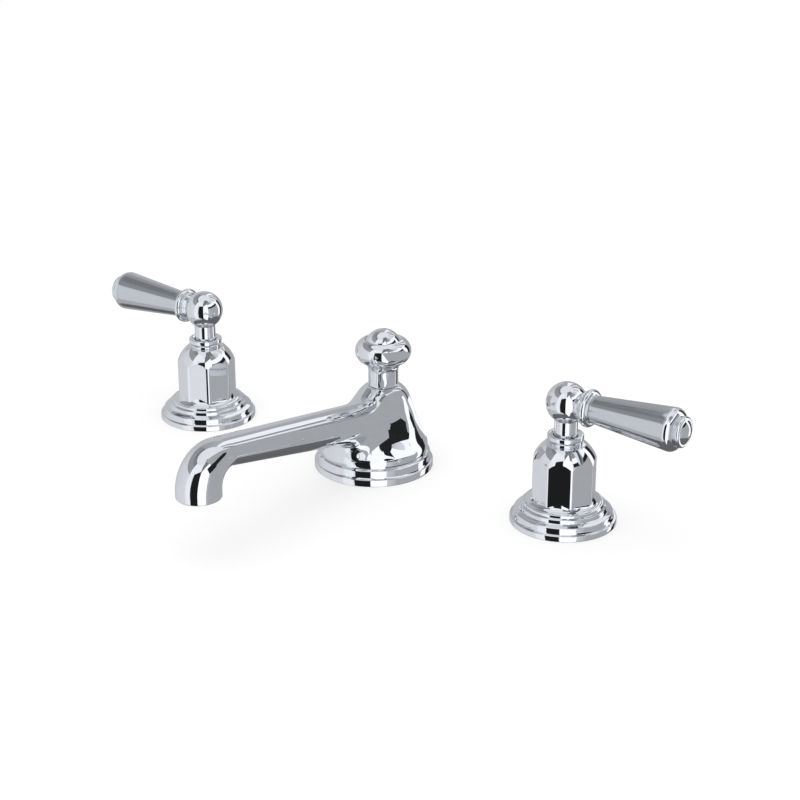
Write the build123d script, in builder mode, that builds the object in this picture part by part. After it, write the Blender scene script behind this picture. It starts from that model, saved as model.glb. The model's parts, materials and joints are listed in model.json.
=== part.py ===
from build123d import *
from math import cos, radians, sqrt
import os

# Widespread basin faucet: a spout with a lift knob between a hot and a cold lever valve.
# Origin on the deck plane under the spout bell. +Z is up, the user is at -Y, hot is at -X.

os.makedirs("parts", exist_ok=True)

# Layout
valve_spacing = 203.2
deck_thickness = 30.0
overrun = 1.0
thread_play = 0.05
running_play = 0.08
neck_play = 0.3
face_play = 0.1

# Spout bell: it leans back, away from the user, as it rises
bell_foot_r = 24.4
bell_top_z = 36.6
bell_top_r = 10.5
bell_lean = 7.5
bell_crown_h = 0.47
bell_crown_round = 6.4
spigot_inset = 3.5
# shares of the height, of the lean and of the step from top radius to foot radius
bell_shares = (
    (0.0, 0.0, 1.0),
    (0.096, 0.03, 1.007),
    (0.199, 0.16, 0.876),
    (0.336, 0.36, 0.604),
    (0.520, 0.61, 0.324),
    (0.705, 0.853, 0.115),
    (0.850, 0.973, 0.034),
    (1.0, 1.0, 0.0),
)

# Spout tube: an oval that rises towards the user, bends down and ends in a round mouth
tube_root_y = 2.0
tube_root_z = 21.57
tube_root_half_width = 10.98
tube_root_half_height = 8.97
tube_end_half_width = 9.5
tube_end_half_height = 6.0
tube_reach = 117.4
tube_corner_z = 44.1
bend_r = 12.5
mouth_z = 26.3
mouth_r = 9.6
mouth_half_depth = 9.59
mouth_edge = 0.4
tube_blend_r = 10.0
bend_shares = (0.0, 0.2, 0.4, 0.6, 0.8, 1.0)

# Waterway and shank
waterway_r = 4.3
waterway_turn_r = 6.0
shank_y = -10.0
shank_r = 8.3
shank_end_r = 7.2
shank_end_z = -46.0
shank_bore_r = 5.5
shank_bottom_z = -62.0
shank_socket_z = 12.0

# Spout base ring, two steps round the bell's foot
base_step_w = 1.4
base_step_h = 2.9
base_bevel_h = 0.6
base_band_w = 1.3
base_band_h = 2.8
base_slope_h = 0.65
base_edge = 0.45
gasket_h = 1.7

# Aerator
aerator_r = 8.35
aerator_h = 5.5
aerator_recess = 0.3
aerator_wall = 1.1
aerator_lip_r = 6.5
aerator_lip_h = 0.8
aerator_washer_h = 0.6
aerator_washer_bore_r = 5.2
straightener_h = 3.0
straightener_hole_r = 0.8
straightener_pitch_r = 2.45

# Lift knob and rod
knob_neck_r = 6.85
knob_gap = 0.15
knob_ring_rise = 16.25
knob_ring_r = 12.75
knob_ring_round = 5.75
knob_cove_r = 2.0
knob_crest_w = 0.5
knob_groove_w = 0.6
knob_dome_r = 8.5
knob_top_rise = 10.5
rod_r = 2.38
rod_bottom_z = -166.0
rod_top_drop = 7.0
rod_hole_r = 3.4
guide_r = 5.5
guide_h = 10.4
guide_inset = 0.2

# Clamp under the deck
seal_h = 2.0
washer_h = 1.5
spout_washer_r = 22.0
spout_nut_flats = 22.0
spout_nut_h = 7.0
valve_washer_r = 20.0
valve_nut_flats = 36.0
valve_nut_h = 8.0
nut_chamfer = 0.8

# Valve flange, four steps round the bonnet's foot
flange_band_w = 1.7
flange_band_h = 2.1
flange_slope_h = 0.85
flange_step_w = 2.6
flange_step_h = 1.9
flange_bevel_h = 1.1
flange_upper_w = 1.4
flange_upper_h = 1.5
flange_fall_h = 0.3
flange_rim_w = 0.7
flange_rim_h = 1.2
flange_edge = 0.45
flange_recess_wall = 2.3

# Octagonal bonnet
bonnet_sides = 8
bonnet_wall = 1.516
bonnet_play = 0.43
bonnet_arris = 1.0
bonnet_foot_w = 2.52
bonnet_foot_h = 3.2
bonnet_shoulder_z = 27.8
bonnet_dome_h = 7.8
bonnet_dome_side_w = 1.48
bonnet_dome_side_h = 3.5
bonnet_top_w = 4.98
bonnet_bore_rise = 1.2
bonnet_throat_wall = 0.4
bonnet_roof_h = 3.0

# Collar on the bonnet
collar_r = 7.8
collar_foot_r = 7.2
collar_waist_h = 1.4
collar_slope_h = 1.0
collar_band_h = 1.9
collar_lip_r = 6.6
collar_edge = 0.5

# Valve body
barrel_r = 12.7
barrel_top_z = 11.3
chamber_r = 10.3
seat_z = -62.0
barrel_bottom_z = -66.0
inlet_r = 10.4
inlet_bore_r = 5.5
inlet_top_z = -69.0
inlet_bottom_z = -90.0
outlet_z = -52.0
outlet_r = 7.9
outlet_bore_r = 5.0
outlet_reach = 27.0
outlet_shoulder_r = 9.4
outlet_shoulder_reach = 13.5

# Cartridge
cartridge_tube_r = 9.2
cartridge_thread_z = -8.0
cartridge_hex_flats = 19.0
cartridge_hex_h = 4.0
cartridge_neck_r = 8.2
cartridge_head_room = 2.6
disc_chamber_r = 8.0
disc_chamber_top_z = -49.9
window_width = 9.0
window_bottom_z = -53.8
window_top_z = -50.2
disc_plane_z = -57.0
disc_h = 3.0
port_inner_r = 2.3
port_outer_r = 6.4
port_angle = 80.0
drive_slot_length = 11.6
drive_slot_width = 3.0
drive_slot_depth = 1.6

# Spindle
spindle_r = 3.6
spindle_top_drop = 2.9
spindle_foot_r = 6.0
spindle_foot_h = 4.0
o_ring_drop = 8.0
o_ring_wire_r = 0.6
circlip_r = 5.0
circlip_groove_depth = 0.55
circlip_h = 0.9
circlip_gap = 3.0

# Handle hub
ball_r = 8.9
ball_rise = 14.0
neck_r = 5.0
neck_rise = 1.2
lever_boss_r = 5.6
lever_boss_inset = 0.65
screw_r = 1.5
screw_drop = 4.9
screw_length = 2.5
screw_socket_flats = 1.5
screw_socket_depth = 1.4

# Lever, outwards from the ball
stud_r = 2.5
stud_gap = 1.05
small_bead_r = 6.95
small_bead_foot_r = 6.6
small_bead_w = 1.25
bead_r = 8.15
bead_round = 1.75
ring_neck_w = 0.5
ring_neck_r = 6.3
grip_start_r = 5.95
grip_length = 36.1
grip_end_r = 9.2
grip_edge = 0.25
shoulder_w = 3.6
shoulder_inset = 3.0
shoulder_side_w = 2.65
shoulder_side_inset = 1.0
button_foot_inset = 0.3
button_foot_w = 0.3
button_bead_w = 2.2
button_bead_h = 0.7
button_dome_inset = 0.9
button_dome_h = 1.8
button_dome_side_h = 1.2
button_dome_side_inset = 1.8
button_wall = 2.9

# Sizes and heights that follow from the ones above
half_spacing = valve_spacing / 2
bell_crown_z = bell_top_z + bell_crown_h
spigot_r = bell_foot_r - spigot_inset
base_step_r = bell_foot_r + base_step_w
base_r = base_step_r + base_band_w
base_step_z = base_band_h + base_edge + base_slope_h
base_step_top_z = base_step_z + base_step_h
bell_foot_z = base_step_top_z + base_bevel_h
knob_bottom_z = bell_top_z + knob_gap
knob_ring_z = knob_bottom_z + knob_ring_rise
knob_top_z = knob_ring_z + knob_top_rise
knob_groove_r = knob_dome_r - knob_groove_w
knob_crest_r = knob_groove_r + knob_crest_w
rod_top_z = knob_ring_z - rod_top_drop
guide_bottom_z = bell_top_z - guide_inset - guide_h
flange_step_z = flange_band_h + flange_edge + flange_slope_h
flange_step_top_z = flange_step_z + flange_step_h
flange_upper_z = flange_step_top_z + flange_bevel_h
flange_upper_top_z = flange_upper_z + flange_upper_h
flange_rim_z = flange_upper_top_z + flange_fall_h
flange_top_z = flange_rim_z + flange_rim_h
bonnet_flat_share = cos(radians(180 / bonnet_sides))
bonnet_bore_r = cartridge_hex_flats / 2 / cos(radians(30)) + bonnet_play
bonnet_r = (bonnet_bore_r + bonnet_wall) / bonnet_flat_share
bonnet_foot_r = bonnet_r + bonnet_foot_w
bonnet_top_r = bonnet_r - bonnet_top_w
bonnet_throat_r = bonnet_top_r - bonnet_throat_wall
bonnet_top_z = bonnet_shoulder_z + bonnet_dome_h
bonnet_bore_top_z = bonnet_shoulder_z + bonnet_bore_rise
bonnet_throat_z = bonnet_top_z - bonnet_roof_h
flange_rim_r = bonnet_foot_r + flange_rim_w
flange_upper_r = flange_rim_r + flange_upper_w
flange_step_r = flange_upper_r + flange_step_w
flange_r = flange_step_r + flange_band_w
flange_recess_r = flange_r - flange_recess_wall
collar_waist_z = bonnet_top_z + collar_waist_h
collar_band_z = collar_waist_z + collar_slope_h
collar_top_z = collar_band_z + collar_band_h
cartridge_top_z = bonnet_throat_z - cartridge_head_room
o_ring_z = cartridge_top_z - o_ring_drop
circlip_groove_r = spindle_r - circlip_groove_depth
neck_bottom_z = bonnet_throat_z + neck_rise
ball_z = collar_top_z + ball_rise
spindle_top_z = ball_z - spindle_top_drop
screw_z = ball_z - screw_drop
lever_boss_end = ball_r - lever_boss_inset
small_bead_end = lever_boss_end + small_bead_w
ring_end = small_bead_end + 2 * bead_round + ring_neck_w
grip_end = ring_end + grip_length
shoulder_end = grip_end + shoulder_w
shoulder_end_r = grip_end_r - shoulder_inset
button_foot_r = shoulder_end_r - button_foot_inset
button_dome_r = button_foot_r - button_dome_inset
button_bead_start = shoulder_end + button_foot_w
button_bead_end = button_bead_start + button_bead_w
button_end = button_bead_end + button_dome_h
stud_start = spindle_r + stud_gap
stud_end = button_end - button_wall
deck_under_z = -deck_thickness
seal_under_z = deck_under_z - seal_h
washer_under_z = seal_under_z - washer_h
sides = {"hot": -1, "cold": 1}


def upright(x, y):
    """Profile plane through a vertical axis: local X is the radius, local Y the height."""
    return Plane(origin=(x, y, 0), x_dir=(1, 0, 0), z_dir=(0, -1, 0))


def vertical_axis(x, y):
    """Vertical axis at x, y."""
    return Axis((x, y, 0), (0, 0, 1))


def lever_plane(x, side):
    """Profile plane of a lever: local X runs outwards from the ball's centre."""
    return Plane(origin=(x, 0, ball_z), x_dir=(side, 0, 0), z_dir=(0, -side, 0))


def lever_axis(x, side):
    """Axis of a lever, outwards from the ball's centre."""
    return Axis((x, 0, ball_z), (side, 0, 0))


def level(x, y, z):
    """Horizontal plane at a height, with its origin on a vertical axis."""
    return Plane(origin=(x, y, z))


def save(part, name):
    """Label a finished piece and write it."""
    part.label = name
    export_step(part, f"parts/{name}.step")


# Spout body: bell, tube, waterway and sockets in one casting
with BuildLine(Plane.YZ) as tube_path:
    FilletPolyline(
        (tube_root_y, tube_root_z),
        (-tube_reach, tube_corner_z),
        (-tube_reach, mouth_z),
        radius=bend_r,
    )
tube_run, tube_bend, tube_drop = tube_path.wire().edges()


def tube_section(edge, share):
    """Plane square to the tube's centre-line at a share of one of its edges."""
    return Plane(origin=edge @ share, x_dir=(1, 0, 0), z_dir=edge % share)


with BuildPart() as tube:
    with BuildSketch(tube_section(tube_run, 0)):
        Ellipse(tube_root_half_width, tube_root_half_height)
    with BuildSketch(tube_section(tube_run, 1)):
        Ellipse(tube_end_half_width, tube_end_half_height)
    loft()
    for share in bend_shares:
        eased_share = share * share * (3 - 2 * share)
        with BuildSketch(tube_section(tube_bend, share)):
            Ellipse(
                tube_end_half_width + (mouth_r - tube_end_half_width) * eased_share,
                tube_end_half_height + (mouth_half_depth - tube_end_half_height) * eased_share,
            )
    loft()
    with BuildSketch(tube_section(tube_drop, 0)):
        Ellipse(mouth_r, mouth_half_depth)
    extrude(amount=tube_drop.length)

shank_path_z = tube_root_z + (tube_corner_z - tube_root_z) * (tube_root_y - shank_y) / (
    tube_reach + tube_root_y
)
with BuildLine(Plane.YZ) as waterway:
    FilletPolyline(
        (shank_y, shank_socket_z - overrun),
        (shank_y, shank_path_z),
        (-tube_reach, tube_corner_z),
        (-tube_reach, mouth_z - overrun),
        radius=(waterway_turn_r, bend_r),
    )

with BuildPart() as spout_body:
    for height_share, lean_share, radius_share in bell_shares:
        bell_z = bell_foot_z + (bell_crown_z - bell_foot_z) * height_share
        with BuildSketch(level(0, bell_lean * lean_share, bell_z)):
            Circle(bell_top_r + (bell_foot_r - bell_top_r) * radius_share)
    loft()
    fillet(spout_body.faces().sort_by(Axis.Z)[-1].edges(), bell_crown_round)
    split(bisect_by=level(0, 0, bell_top_z), keep=Keep.BOTTOM)
    add(tube.part)
    tube_seam = spout_body.edges().filter_by(
        lambda edge: -base_r < edge.center().Y < 0
        and bell_foot_z < edge.center().Z < bell_top_z - overrun
    )
    fillet(tube_seam, tube_blend_r)
    mouth_rim = spout_body.faces().sort_by(Axis.Y)[0].edges().sort_by(Axis.Z)[0]
    chamfer(mouth_rim, mouth_edge)
    with BuildSketch(level(0, 0, gasket_h + face_play)):
        Circle(spigot_r)
    extrude(until=Until.NEXT)
    with BuildSketch(Plane(origin=waterway.wire() @ 0)):
        Circle(waterway_r)
    sweep(path=waterway.wire(), mode=Mode.SUBTRACT)
    with BuildSketch(level(0, -tube_reach, mouth_z)):
        Circle(aerator_r + thread_play)
    extrude(amount=aerator_recess + aerator_h + aerator_washer_h + face_play, mode=Mode.SUBTRACT)
    with BuildSketch(level(0, shank_y, shank_socket_z)):
        Circle(shank_r + thread_play)
    extrude(amount=-shank_socket_z, mode=Mode.SUBTRACT)
    with BuildSketch(level(0, bell_lean, 0)):
        Circle(rod_hole_r)
    extrude(amount=bell_top_z + overrun, mode=Mode.SUBTRACT)
    with BuildSketch(level(0, bell_lean, guide_bottom_z)):
        Circle(guide_r + thread_play)
    extrude(amount=bell_top_z - guide_bottom_z + overrun, mode=Mode.SUBTRACT)
save(spout_body.part, "spout_body")

# Base ring: two steps, open at the centre for the spigot
with BuildPart() as spout_base_ring:
    with BuildSketch(upright(0, 0)) as base_profile:
        with BuildLine():
            Polyline(
                (spigot_r + face_play, 0),
                (base_r, 0),
                (base_r, base_band_h + base_edge),
                (base_step_r + base_edge, base_band_h + base_edge),
                (base_step_r, base_step_z),
                (base_step_r, base_step_top_z),
                (bell_foot_r + base_edge, bell_foot_z),
                (spigot_r + face_play, bell_foot_z),
                close=True,
            )
        make_face()
        fillet(base_profile.vertices().group_by(Axis.X)[-1], base_edge)
    revolve(axis=Axis.Z)
save(spout_base_ring.part, "spout_base_ring")

# Rubber pad in the base ring, with the shank's and the rod's holes
with BuildPart() as spout_gasket:
    with BuildSketch(Plane.XY):
        Circle(spigot_r)
        with Locations((0, shank_y)):
            Circle(shank_r + face_play, mode=Mode.SUBTRACT)
        with Locations((0, bell_lean)):
            Circle(rod_hole_r, mode=Mode.SUBTRACT)
    extrude(amount=gasket_h)
save(spout_gasket.part, "spout_gasket")

# Threaded shank, screwed into the casting, with a slimmer end for the supply hose
with BuildPart() as spout_shank:
    with BuildSketch(upright(0, shank_y)) as shank_profile:
        with BuildLine():
            Polyline(
                (shank_bore_r, shank_bottom_z),
                (shank_end_r, shank_bottom_z),
                (shank_end_r, shank_end_z),
                (shank_r, shank_end_z),
                (shank_r, shank_socket_z - face_play),
                (shank_bore_r, shank_socket_z - face_play),
                close=True,
            )
        make_face()
        chamfer(
            shank_profile.vertices().group_by(Axis.X)[-1].sort_by(Axis.Y)[0],
            nut_chamfer,
        )
    revolve(axis=vertical_axis(0, shank_y))
save(spout_shank.part, "spout_shank")

# Aerator: shell with an inner lip, flow straightener on the lip, seal above them
aerator_bottom_z = mouth_z + aerator_recess
with BuildPart() as aerator_shell:
    with BuildSketch(upright(0, -tube_reach)):
        with BuildLine():
            Polyline(
                (aerator_lip_r, aerator_bottom_z),
                (aerator_r, aerator_bottom_z),
                (aerator_r, aerator_bottom_z + aerator_h),
                (aerator_r - aerator_wall, aerator_bottom_z + aerator_h),
                (aerator_r - aerator_wall, aerator_bottom_z + aerator_lip_h),
                (aerator_lip_r, aerator_bottom_z + aerator_lip_h),
                close=True,
            )
        make_face()
    revolve(axis=vertical_axis(0, -tube_reach))
save(aerator_shell.part, "aerator_shell")

with BuildPart() as aerator_insert:
    with BuildSketch(level(0, -tube_reach, aerator_bottom_z + aerator_lip_h)):
        Circle(aerator_r - aerator_wall - thread_play)
        with PolarLocations(straightener_pitch_r, 6):
            Circle(straightener_hole_r, mode=Mode.SUBTRACT)
        with PolarLocations(2 * straightener_pitch_r, 12):
            Circle(straightener_hole_r, mode=Mode.SUBTRACT)
        Circle(straightener_hole_r, mode=Mode.SUBTRACT)
    extrude(amount=straightener_h)
save(aerator_insert.part, "aerator_insert")

with BuildPart() as aerator_washer:
    with BuildSketch(level(0, -tube_reach, aerator_bottom_z + aerator_h)):
        Circle(aerator_r)
        Circle(aerator_washer_bore_r, mode=Mode.SUBTRACT)
    extrude(amount=aerator_washer_h)
save(aerator_washer.part, "aerator_washer")

# Plastic bush in the top of the bell
with BuildPart() as rod_guide:
    with BuildSketch(level(0, bell_lean, guide_bottom_z)):
        Circle(guide_r)
        Circle(rod_r + running_play, mode=Mode.SUBTRACT)
    extrude(amount=bell_top_z - guide_inset - guide_bottom_z)
save(rod_guide.part, "rod_guide")

# Lift knob: neck, cove, round ring, groove and dome, turned in one
ring_centre_r = knob_ring_r - knob_ring_round
cove_centre_r = knob_neck_r + knob_cove_r
cove_centre_drop = sqrt((knob_ring_round + knob_cove_r) ** 2 - (cove_centre_r - ring_centre_r) ** 2)
touch_share = knob_ring_round / (knob_ring_round + knob_cove_r)
cove_end = (
    ring_centre_r + (cove_centre_r - ring_centre_r) * touch_share,
    knob_ring_z - cove_centre_drop * touch_share,
)
crest = (knob_crest_r, knob_ring_z + sqrt(knob_ring_round**2 - (knob_crest_r - ring_centre_r) ** 2))
groove = (knob_groove_r, knob_top_z - knob_dome_r + sqrt(knob_dome_r**2 - knob_groove_r**2))
with BuildPart() as lift_knob:
    with BuildSketch(upright(0, bell_lean)):
        with BuildLine():
            Polyline(
                (0, knob_bottom_z),
                (knob_neck_r, knob_bottom_z),
                (knob_neck_r, knob_ring_z - cove_centre_drop),
            )
            RadiusArc((knob_neck_r, knob_ring_z - cove_centre_drop), cove_end, knob_cove_r)
            ThreePointArc(cove_end, (knob_ring_r, knob_ring_z), crest)
            Line(crest, groove)
            RadiusArc(groove, (0, knob_top_z), -knob_dome_r)
            Line((0, knob_top_z), (0, knob_bottom_z))
        make_face()
    revolve(axis=vertical_axis(0, bell_lean))
    with BuildSketch(level(0, bell_lean, knob_bottom_z)):
        Circle(rod_r + thread_play)
    extrude(amount=rod_top_z + face_play - knob_bottom_z, mode=Mode.SUBTRACT)
save(lift_knob.part, "lift_knob")

with BuildPart() as lift_rod:
    with BuildSketch(level(0, bell_lean, rod_bottom_z)):
        Circle(rod_r)
    extrude(amount=rod_top_z - rod_bottom_z)
save(lift_rod.part, "lift_rod")

# Spout clamp under the deck: rubber ring, steel washer and nut, clear of the rod
clamp_y = (shank_y + bell_lean) / 2
for name, under_z, thickness in (
    ("spout_deck_seal", seal_under_z, seal_h),
    ("spout_deck_washer", washer_under_z, washer_h),
):
    with BuildPart() as ring:
        with BuildSketch(level(0, 0, under_z)):
            with Locations((0, clamp_y)):
                Circle(spout_washer_r)
            with Locations((0, shank_y)):
                Circle(shank_r + face_play, mode=Mode.SUBTRACT)
            with Locations((0, bell_lean)):
                Circle(rod_hole_r, mode=Mode.SUBTRACT)
        extrude(amount=thickness)
    save(ring.part, name)


def make_nut(x, y, flats, height, bore_r):
    """Hexagon nut below the steel washer, chamfered at its corners."""
    corner_r = flats / 2 / cos(radians(30))
    with BuildPart() as nut:
        with BuildSketch(level(x, y, washer_under_z)):
            RegularPolygon(corner_r, 6)
            Circle(bore_r, mode=Mode.SUBTRACT)
        extrude(amount=-height)
        with BuildSketch(upright(x, y)):
            with BuildLine():
                Polyline(
                    (0, washer_under_z),
                    (flats / 2, washer_under_z),
                    (corner_r, washer_under_z - nut_chamfer),
                    (corner_r, washer_under_z - height + nut_chamfer),
                    (flats / 2, washer_under_z - height),
                    (0, washer_under_z - height),
                    close=True,
                )
            make_face()
        revolve(axis=vertical_axis(x, y), mode=Mode.INTERSECT)
    return nut.part


save(
    make_nut(0, shank_y, spout_nut_flats, spout_nut_h, shank_r + thread_play),
    "spout_lock_nut",
)


def make_flange(x):
    """Stepped round foot, recessed below for its gasket, screwed on the barrel."""
    bore_r = barrel_r + face_play
    recess_z = gasket_h + face_play
    with BuildPart() as flange:
        with BuildSketch(upright(x, 0)) as profile:
            with BuildLine():
                Polyline(
                    (bore_r, recess_z),
                    (flange_recess_r, recess_z),
                    (flange_recess_r, 0),
                    (flange_r, 0),
                    (flange_r, flange_band_h + flange_edge),
                    (flange_step_r + flange_edge, flange_band_h + flange_edge),
                    (flange_step_r, flange_step_z),
                    (flange_step_r, flange_step_top_z),
                    (flange_upper_r + flange_edge, flange_upper_z - flange_edge),
                    (flange_upper_r, flange_upper_z),
                    (flange_upper_r, flange_upper_top_z),
                    (flange_rim_r, flange_rim_z),
                    (flange_rim_r, flange_top_z),
                    (bore_r, flange_top_z),
                    close=True,
                )
            make_face()
            corners = profile.vertices()
            for corner_r in (flange_r, flange_step_r, flange_upper_r, flange_rim_r):
                outer = corners.filter_by(lambda corner: abs(corner.X - corner_r) < face_play)
                fillet(outer.sort_by(Axis.Y)[-1], flange_edge)
        revolve(axis=vertical_axis(x, 0))
    return flange.part


def make_ring(x, z, height, inner_r, outer_r):
    """Plain ring on a valve's axis."""
    with BuildPart() as ring:
        with BuildSketch(level(x, 0, z)):
            Circle(outer_r)
            Circle(inner_r, mode=Mode.SUBTRACT)
        extrude(amount=height)
    return ring.part


def make_bonnet(x):
    """Octagonal housing: a domed turning cut by eight flats, on a coved foot."""
    foot_z = flange_top_z
    with BuildPart() as bonnet:
        with BuildSketch(upright(x, 0)):
            with BuildLine():
                Polyline(
                    (bonnet_top_r, bonnet_top_z),
                    (0, bonnet_top_z),
                    (0, foot_z),
                    (bonnet_r, foot_z),
                    (bonnet_r, bonnet_shoulder_z),
                )
                ThreePointArc(
                    (bonnet_r, bonnet_shoulder_z),
                    (bonnet_r - bonnet_dome_side_w, bonnet_shoulder_z + bonnet_dome_side_h),
                    (bonnet_top_r, bonnet_top_z),
                )
            make_face()
        revolve(axis=vertical_axis(x, 0))
        with BuildSketch(level(x, 0, foot_z)) as octagon:
            RegularPolygon(bonnet_r, bonnet_sides)
            fillet(octagon.vertices(), bonnet_arris)
        extrude(amount=bonnet_top_z - foot_z, mode=Mode.INTERSECT)
        with BuildSketch(upright(x, 0)):
            with BuildLine():
                Polyline(
                    (bonnet_bore_r, foot_z + bonnet_foot_h),
                    (bonnet_bore_r, foot_z),
                    (bonnet_foot_r, foot_z),
                )
                RadiusArc(
                    (bonnet_foot_r, foot_z),
                    (bonnet_r * bonnet_flat_share, foot_z + bonnet_foot_h),
                    bonnet_foot_h + flange_edge,
                )
                Line(
                    (bonnet_r * bonnet_flat_share, foot_z + bonnet_foot_h),
                    (bonnet_bore_r, foot_z + bonnet_foot_h),
                )
            make_face()
        revolve(axis=vertical_axis(x, 0))
        with BuildSketch(upright(x, 0)):
            with BuildLine():
                Polyline(
                    (0, foot_z),
                    (barrel_r + face_play, foot_z),
                    (barrel_r + face_play, barrel_top_z + face_play),
                    (bonnet_bore_r, barrel_top_z + face_play),
                    (bonnet_bore_r, bonnet_bore_top_z),
                    (bonnet_throat_r, bonnet_throat_z),
                    (neck_r + neck_play, bonnet_throat_z),
                    (neck_r + neck_play, bonnet_top_z + overrun),
                    (0, bonnet_top_z + overrun),
                    close=True,
                )
            make_face()
        revolve(axis=vertical_axis(x, 0), mode=Mode.SUBTRACT)
    return bonnet.part


def make_collar(x):
    """Ring round the handle's neck, waisted below its band."""
    with BuildPart() as collar:
        with BuildSketch(upright(x, 0)) as profile:
            with BuildLine():
                Polyline(
                    (neck_r + neck_play, bonnet_top_z),
                    (collar_foot_r, bonnet_top_z),
                    (collar_foot_r, collar_waist_z),
                    (collar_r, collar_band_z),
                    (collar_r, collar_top_z),
                    (collar_lip_r, collar_top_z),
                    (neck_r + neck_play, collar_top_z - collar_edge),
                    close=True,
                )
            make_face()
            fillet(profile.vertices().group_by(Axis.X)[-1], collar_edge)
        revolve(axis=vertical_axis(x, 0))
    return collar.part


def make_valve_body(x):
    """Threaded barrel, water chamber, inlet below and outlet towards the back."""
    with BuildPart() as body:
        with BuildSketch(upright(x, 0)):
            with BuildLine():
                Polyline(
                    (0, barrel_top_z),
                    (barrel_r, barrel_top_z),
                    (barrel_r, barrel_bottom_z),
                    (inlet_r, inlet_top_z),
                    (inlet_r, inlet_bottom_z),
                    (0, inlet_bottom_z),
                    close=True,
                )
            make_face()
        revolve(axis=vertical_axis(x, 0))
        outlet_plane = Plane(origin=(x, 0, outlet_z), x_dir=(1, 0, 0), z_dir=(0, 1, 0))
        with BuildSketch(outlet_plane):
            Circle(outlet_shoulder_r)
        extrude(amount=outlet_shoulder_reach)
        with BuildSketch(outlet_plane):
            Circle(outlet_r)
        extrude(amount=outlet_reach)
        with BuildSketch(outlet_plane):
            Circle(outlet_bore_r)
        extrude(amount=outlet_reach + overrun, mode=Mode.SUBTRACT)
        with BuildSketch(upright(x, 0)):
            with BuildLine():
                Polyline(
                    (0, barrel_top_z + overrun),
                    (chamber_r, barrel_top_z + overrun),
                    (chamber_r, seat_z),
                    (inlet_bore_r, seat_z),
                    (inlet_bore_r, inlet_bottom_z - overrun),
                    (0, inlet_bottom_z - overrun),
                    close=True,
                )
            make_face()
        revolve(axis=vertical_axis(x, 0), mode=Mode.SUBTRACT)
    return body.part


def make_cartridge(x):
    """Housing of the discs: windowed skirt, thread, hexagon and neck round the spindle."""
    skirt_z = seat_z + face_play
    hex_top_z = barrel_top_z + cartridge_hex_h
    with BuildPart() as cartridge:
        with BuildSketch(upright(x, 0)):
            with BuildLine():
                Polyline(
                    (0, skirt_z),
                    (cartridge_tube_r, skirt_z),
                    (cartridge_tube_r, cartridge_thread_z),
                    (chamber_r - thread_play, cartridge_thread_z),
                    (chamber_r - thread_play, barrel_top_z),
                    (cartridge_neck_r, barrel_top_z),
                    (cartridge_neck_r, cartridge_top_z),
                    (0, cartridge_top_z),
                    close=True,
                )
            make_face()
        revolve(axis=vertical_axis(x, 0))
        with BuildSketch(level(x, 0, barrel_top_z)):
            RegularPolygon(cartridge_hex_flats / 2 / cos(radians(30)), 6)
        extrude(amount=hex_top_z - barrel_top_z)
        with BuildSketch(level(x, 0, skirt_z)):
            Circle(disc_chamber_r)
        extrude(amount=disc_chamber_top_z - skirt_z, mode=Mode.SUBTRACT)
        with BuildSketch(level(x, 0, skirt_z)):
            Circle(spindle_r + running_play)
        extrude(amount=cartridge_top_z + overrun - skirt_z, mode=Mode.SUBTRACT)
        with BuildSketch(level(x, 0, window_bottom_z)):
            Rectangle(window_width, 2 * cartridge_tube_r + overrun)
        extrude(amount=window_top_z - window_bottom_z, mode=Mode.SUBTRACT)
    return cartridge.part


def make_disc(x, z, turn, slotted):
    """Ceramic disc with two sector ports, and a slot on top in the one that turns."""
    with BuildPart() as disc:
        with BuildSketch(level(x, 0, z)):
            Circle(disc_chamber_r - face_play)
            for middle in (turn, turn + 180):
                start = middle - port_angle / 2
                with BuildLine(mode=Mode.PRIVATE) as port:
                    inner = CenterArc((0, 0), port_inner_r, start, port_angle)
                    outer = CenterArc((0, 0), port_outer_r, start, port_angle)
                    Line(inner @ 0, outer @ 0)
                    Line(inner @ 1, outer @ 1)
                make_face(port.edges(), mode=Mode.SUBTRACT)
        extrude(amount=disc_h)
        if slotted:
            with BuildSketch(level(x, 0, z + disc_h)):
                Rectangle(drive_slot_length, drive_slot_width)
            extrude(amount=-drive_slot_depth, mode=Mode.SUBTRACT)
    return disc.part


def make_spindle(x):
    """Spindle: drive tongue, thrust foot, journal with its two grooves, top in the hub."""
    foot_z = disc_plane_z + disc_h
    with BuildPart() as spindle:
        with BuildSketch(level(x, 0, foot_z)):
            Circle(spindle_foot_r)
        extrude(amount=spindle_foot_h)
        with BuildSketch(level(x, 0, foot_z)):
            Circle(spindle_r)
        extrude(amount=spindle_top_z - foot_z)
        with BuildSketch(level(x, 0, foot_z)):
            Rectangle(drive_slot_length - 2 * face_play, drive_slot_width - 2 * face_play)
            Circle(spindle_foot_r, mode=Mode.INTERSECT)
        extrude(amount=face_play - drive_slot_depth)
        with BuildSketch(level(x, 0, o_ring_z - o_ring_wire_r - face_play)):
            Circle(spindle_r + overrun)
            Circle(spindle_r - 2 * o_ring_wire_r, mode=Mode.SUBTRACT)
        extrude(amount=2 * (o_ring_wire_r + face_play), mode=Mode.SUBTRACT)
        with BuildSketch(level(x, 0, cartridge_top_z + face_play)):
            Circle(spindle_r + overrun)
            Circle(circlip_groove_r, mode=Mode.SUBTRACT)
        extrude(amount=circlip_h + face_play, mode=Mode.SUBTRACT)
    return spindle.part


def make_o_ring(x):
    """Rubber ring in the spindle's groove."""
    with BuildPart() as ring:
        with BuildSketch(upright(x, 0)):
            with Locations((spindle_r - o_ring_wire_r, o_ring_z)):
                Circle(o_ring_wire_r)
        revolve(axis=vertical_axis(x, 0))
    return ring.part


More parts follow.
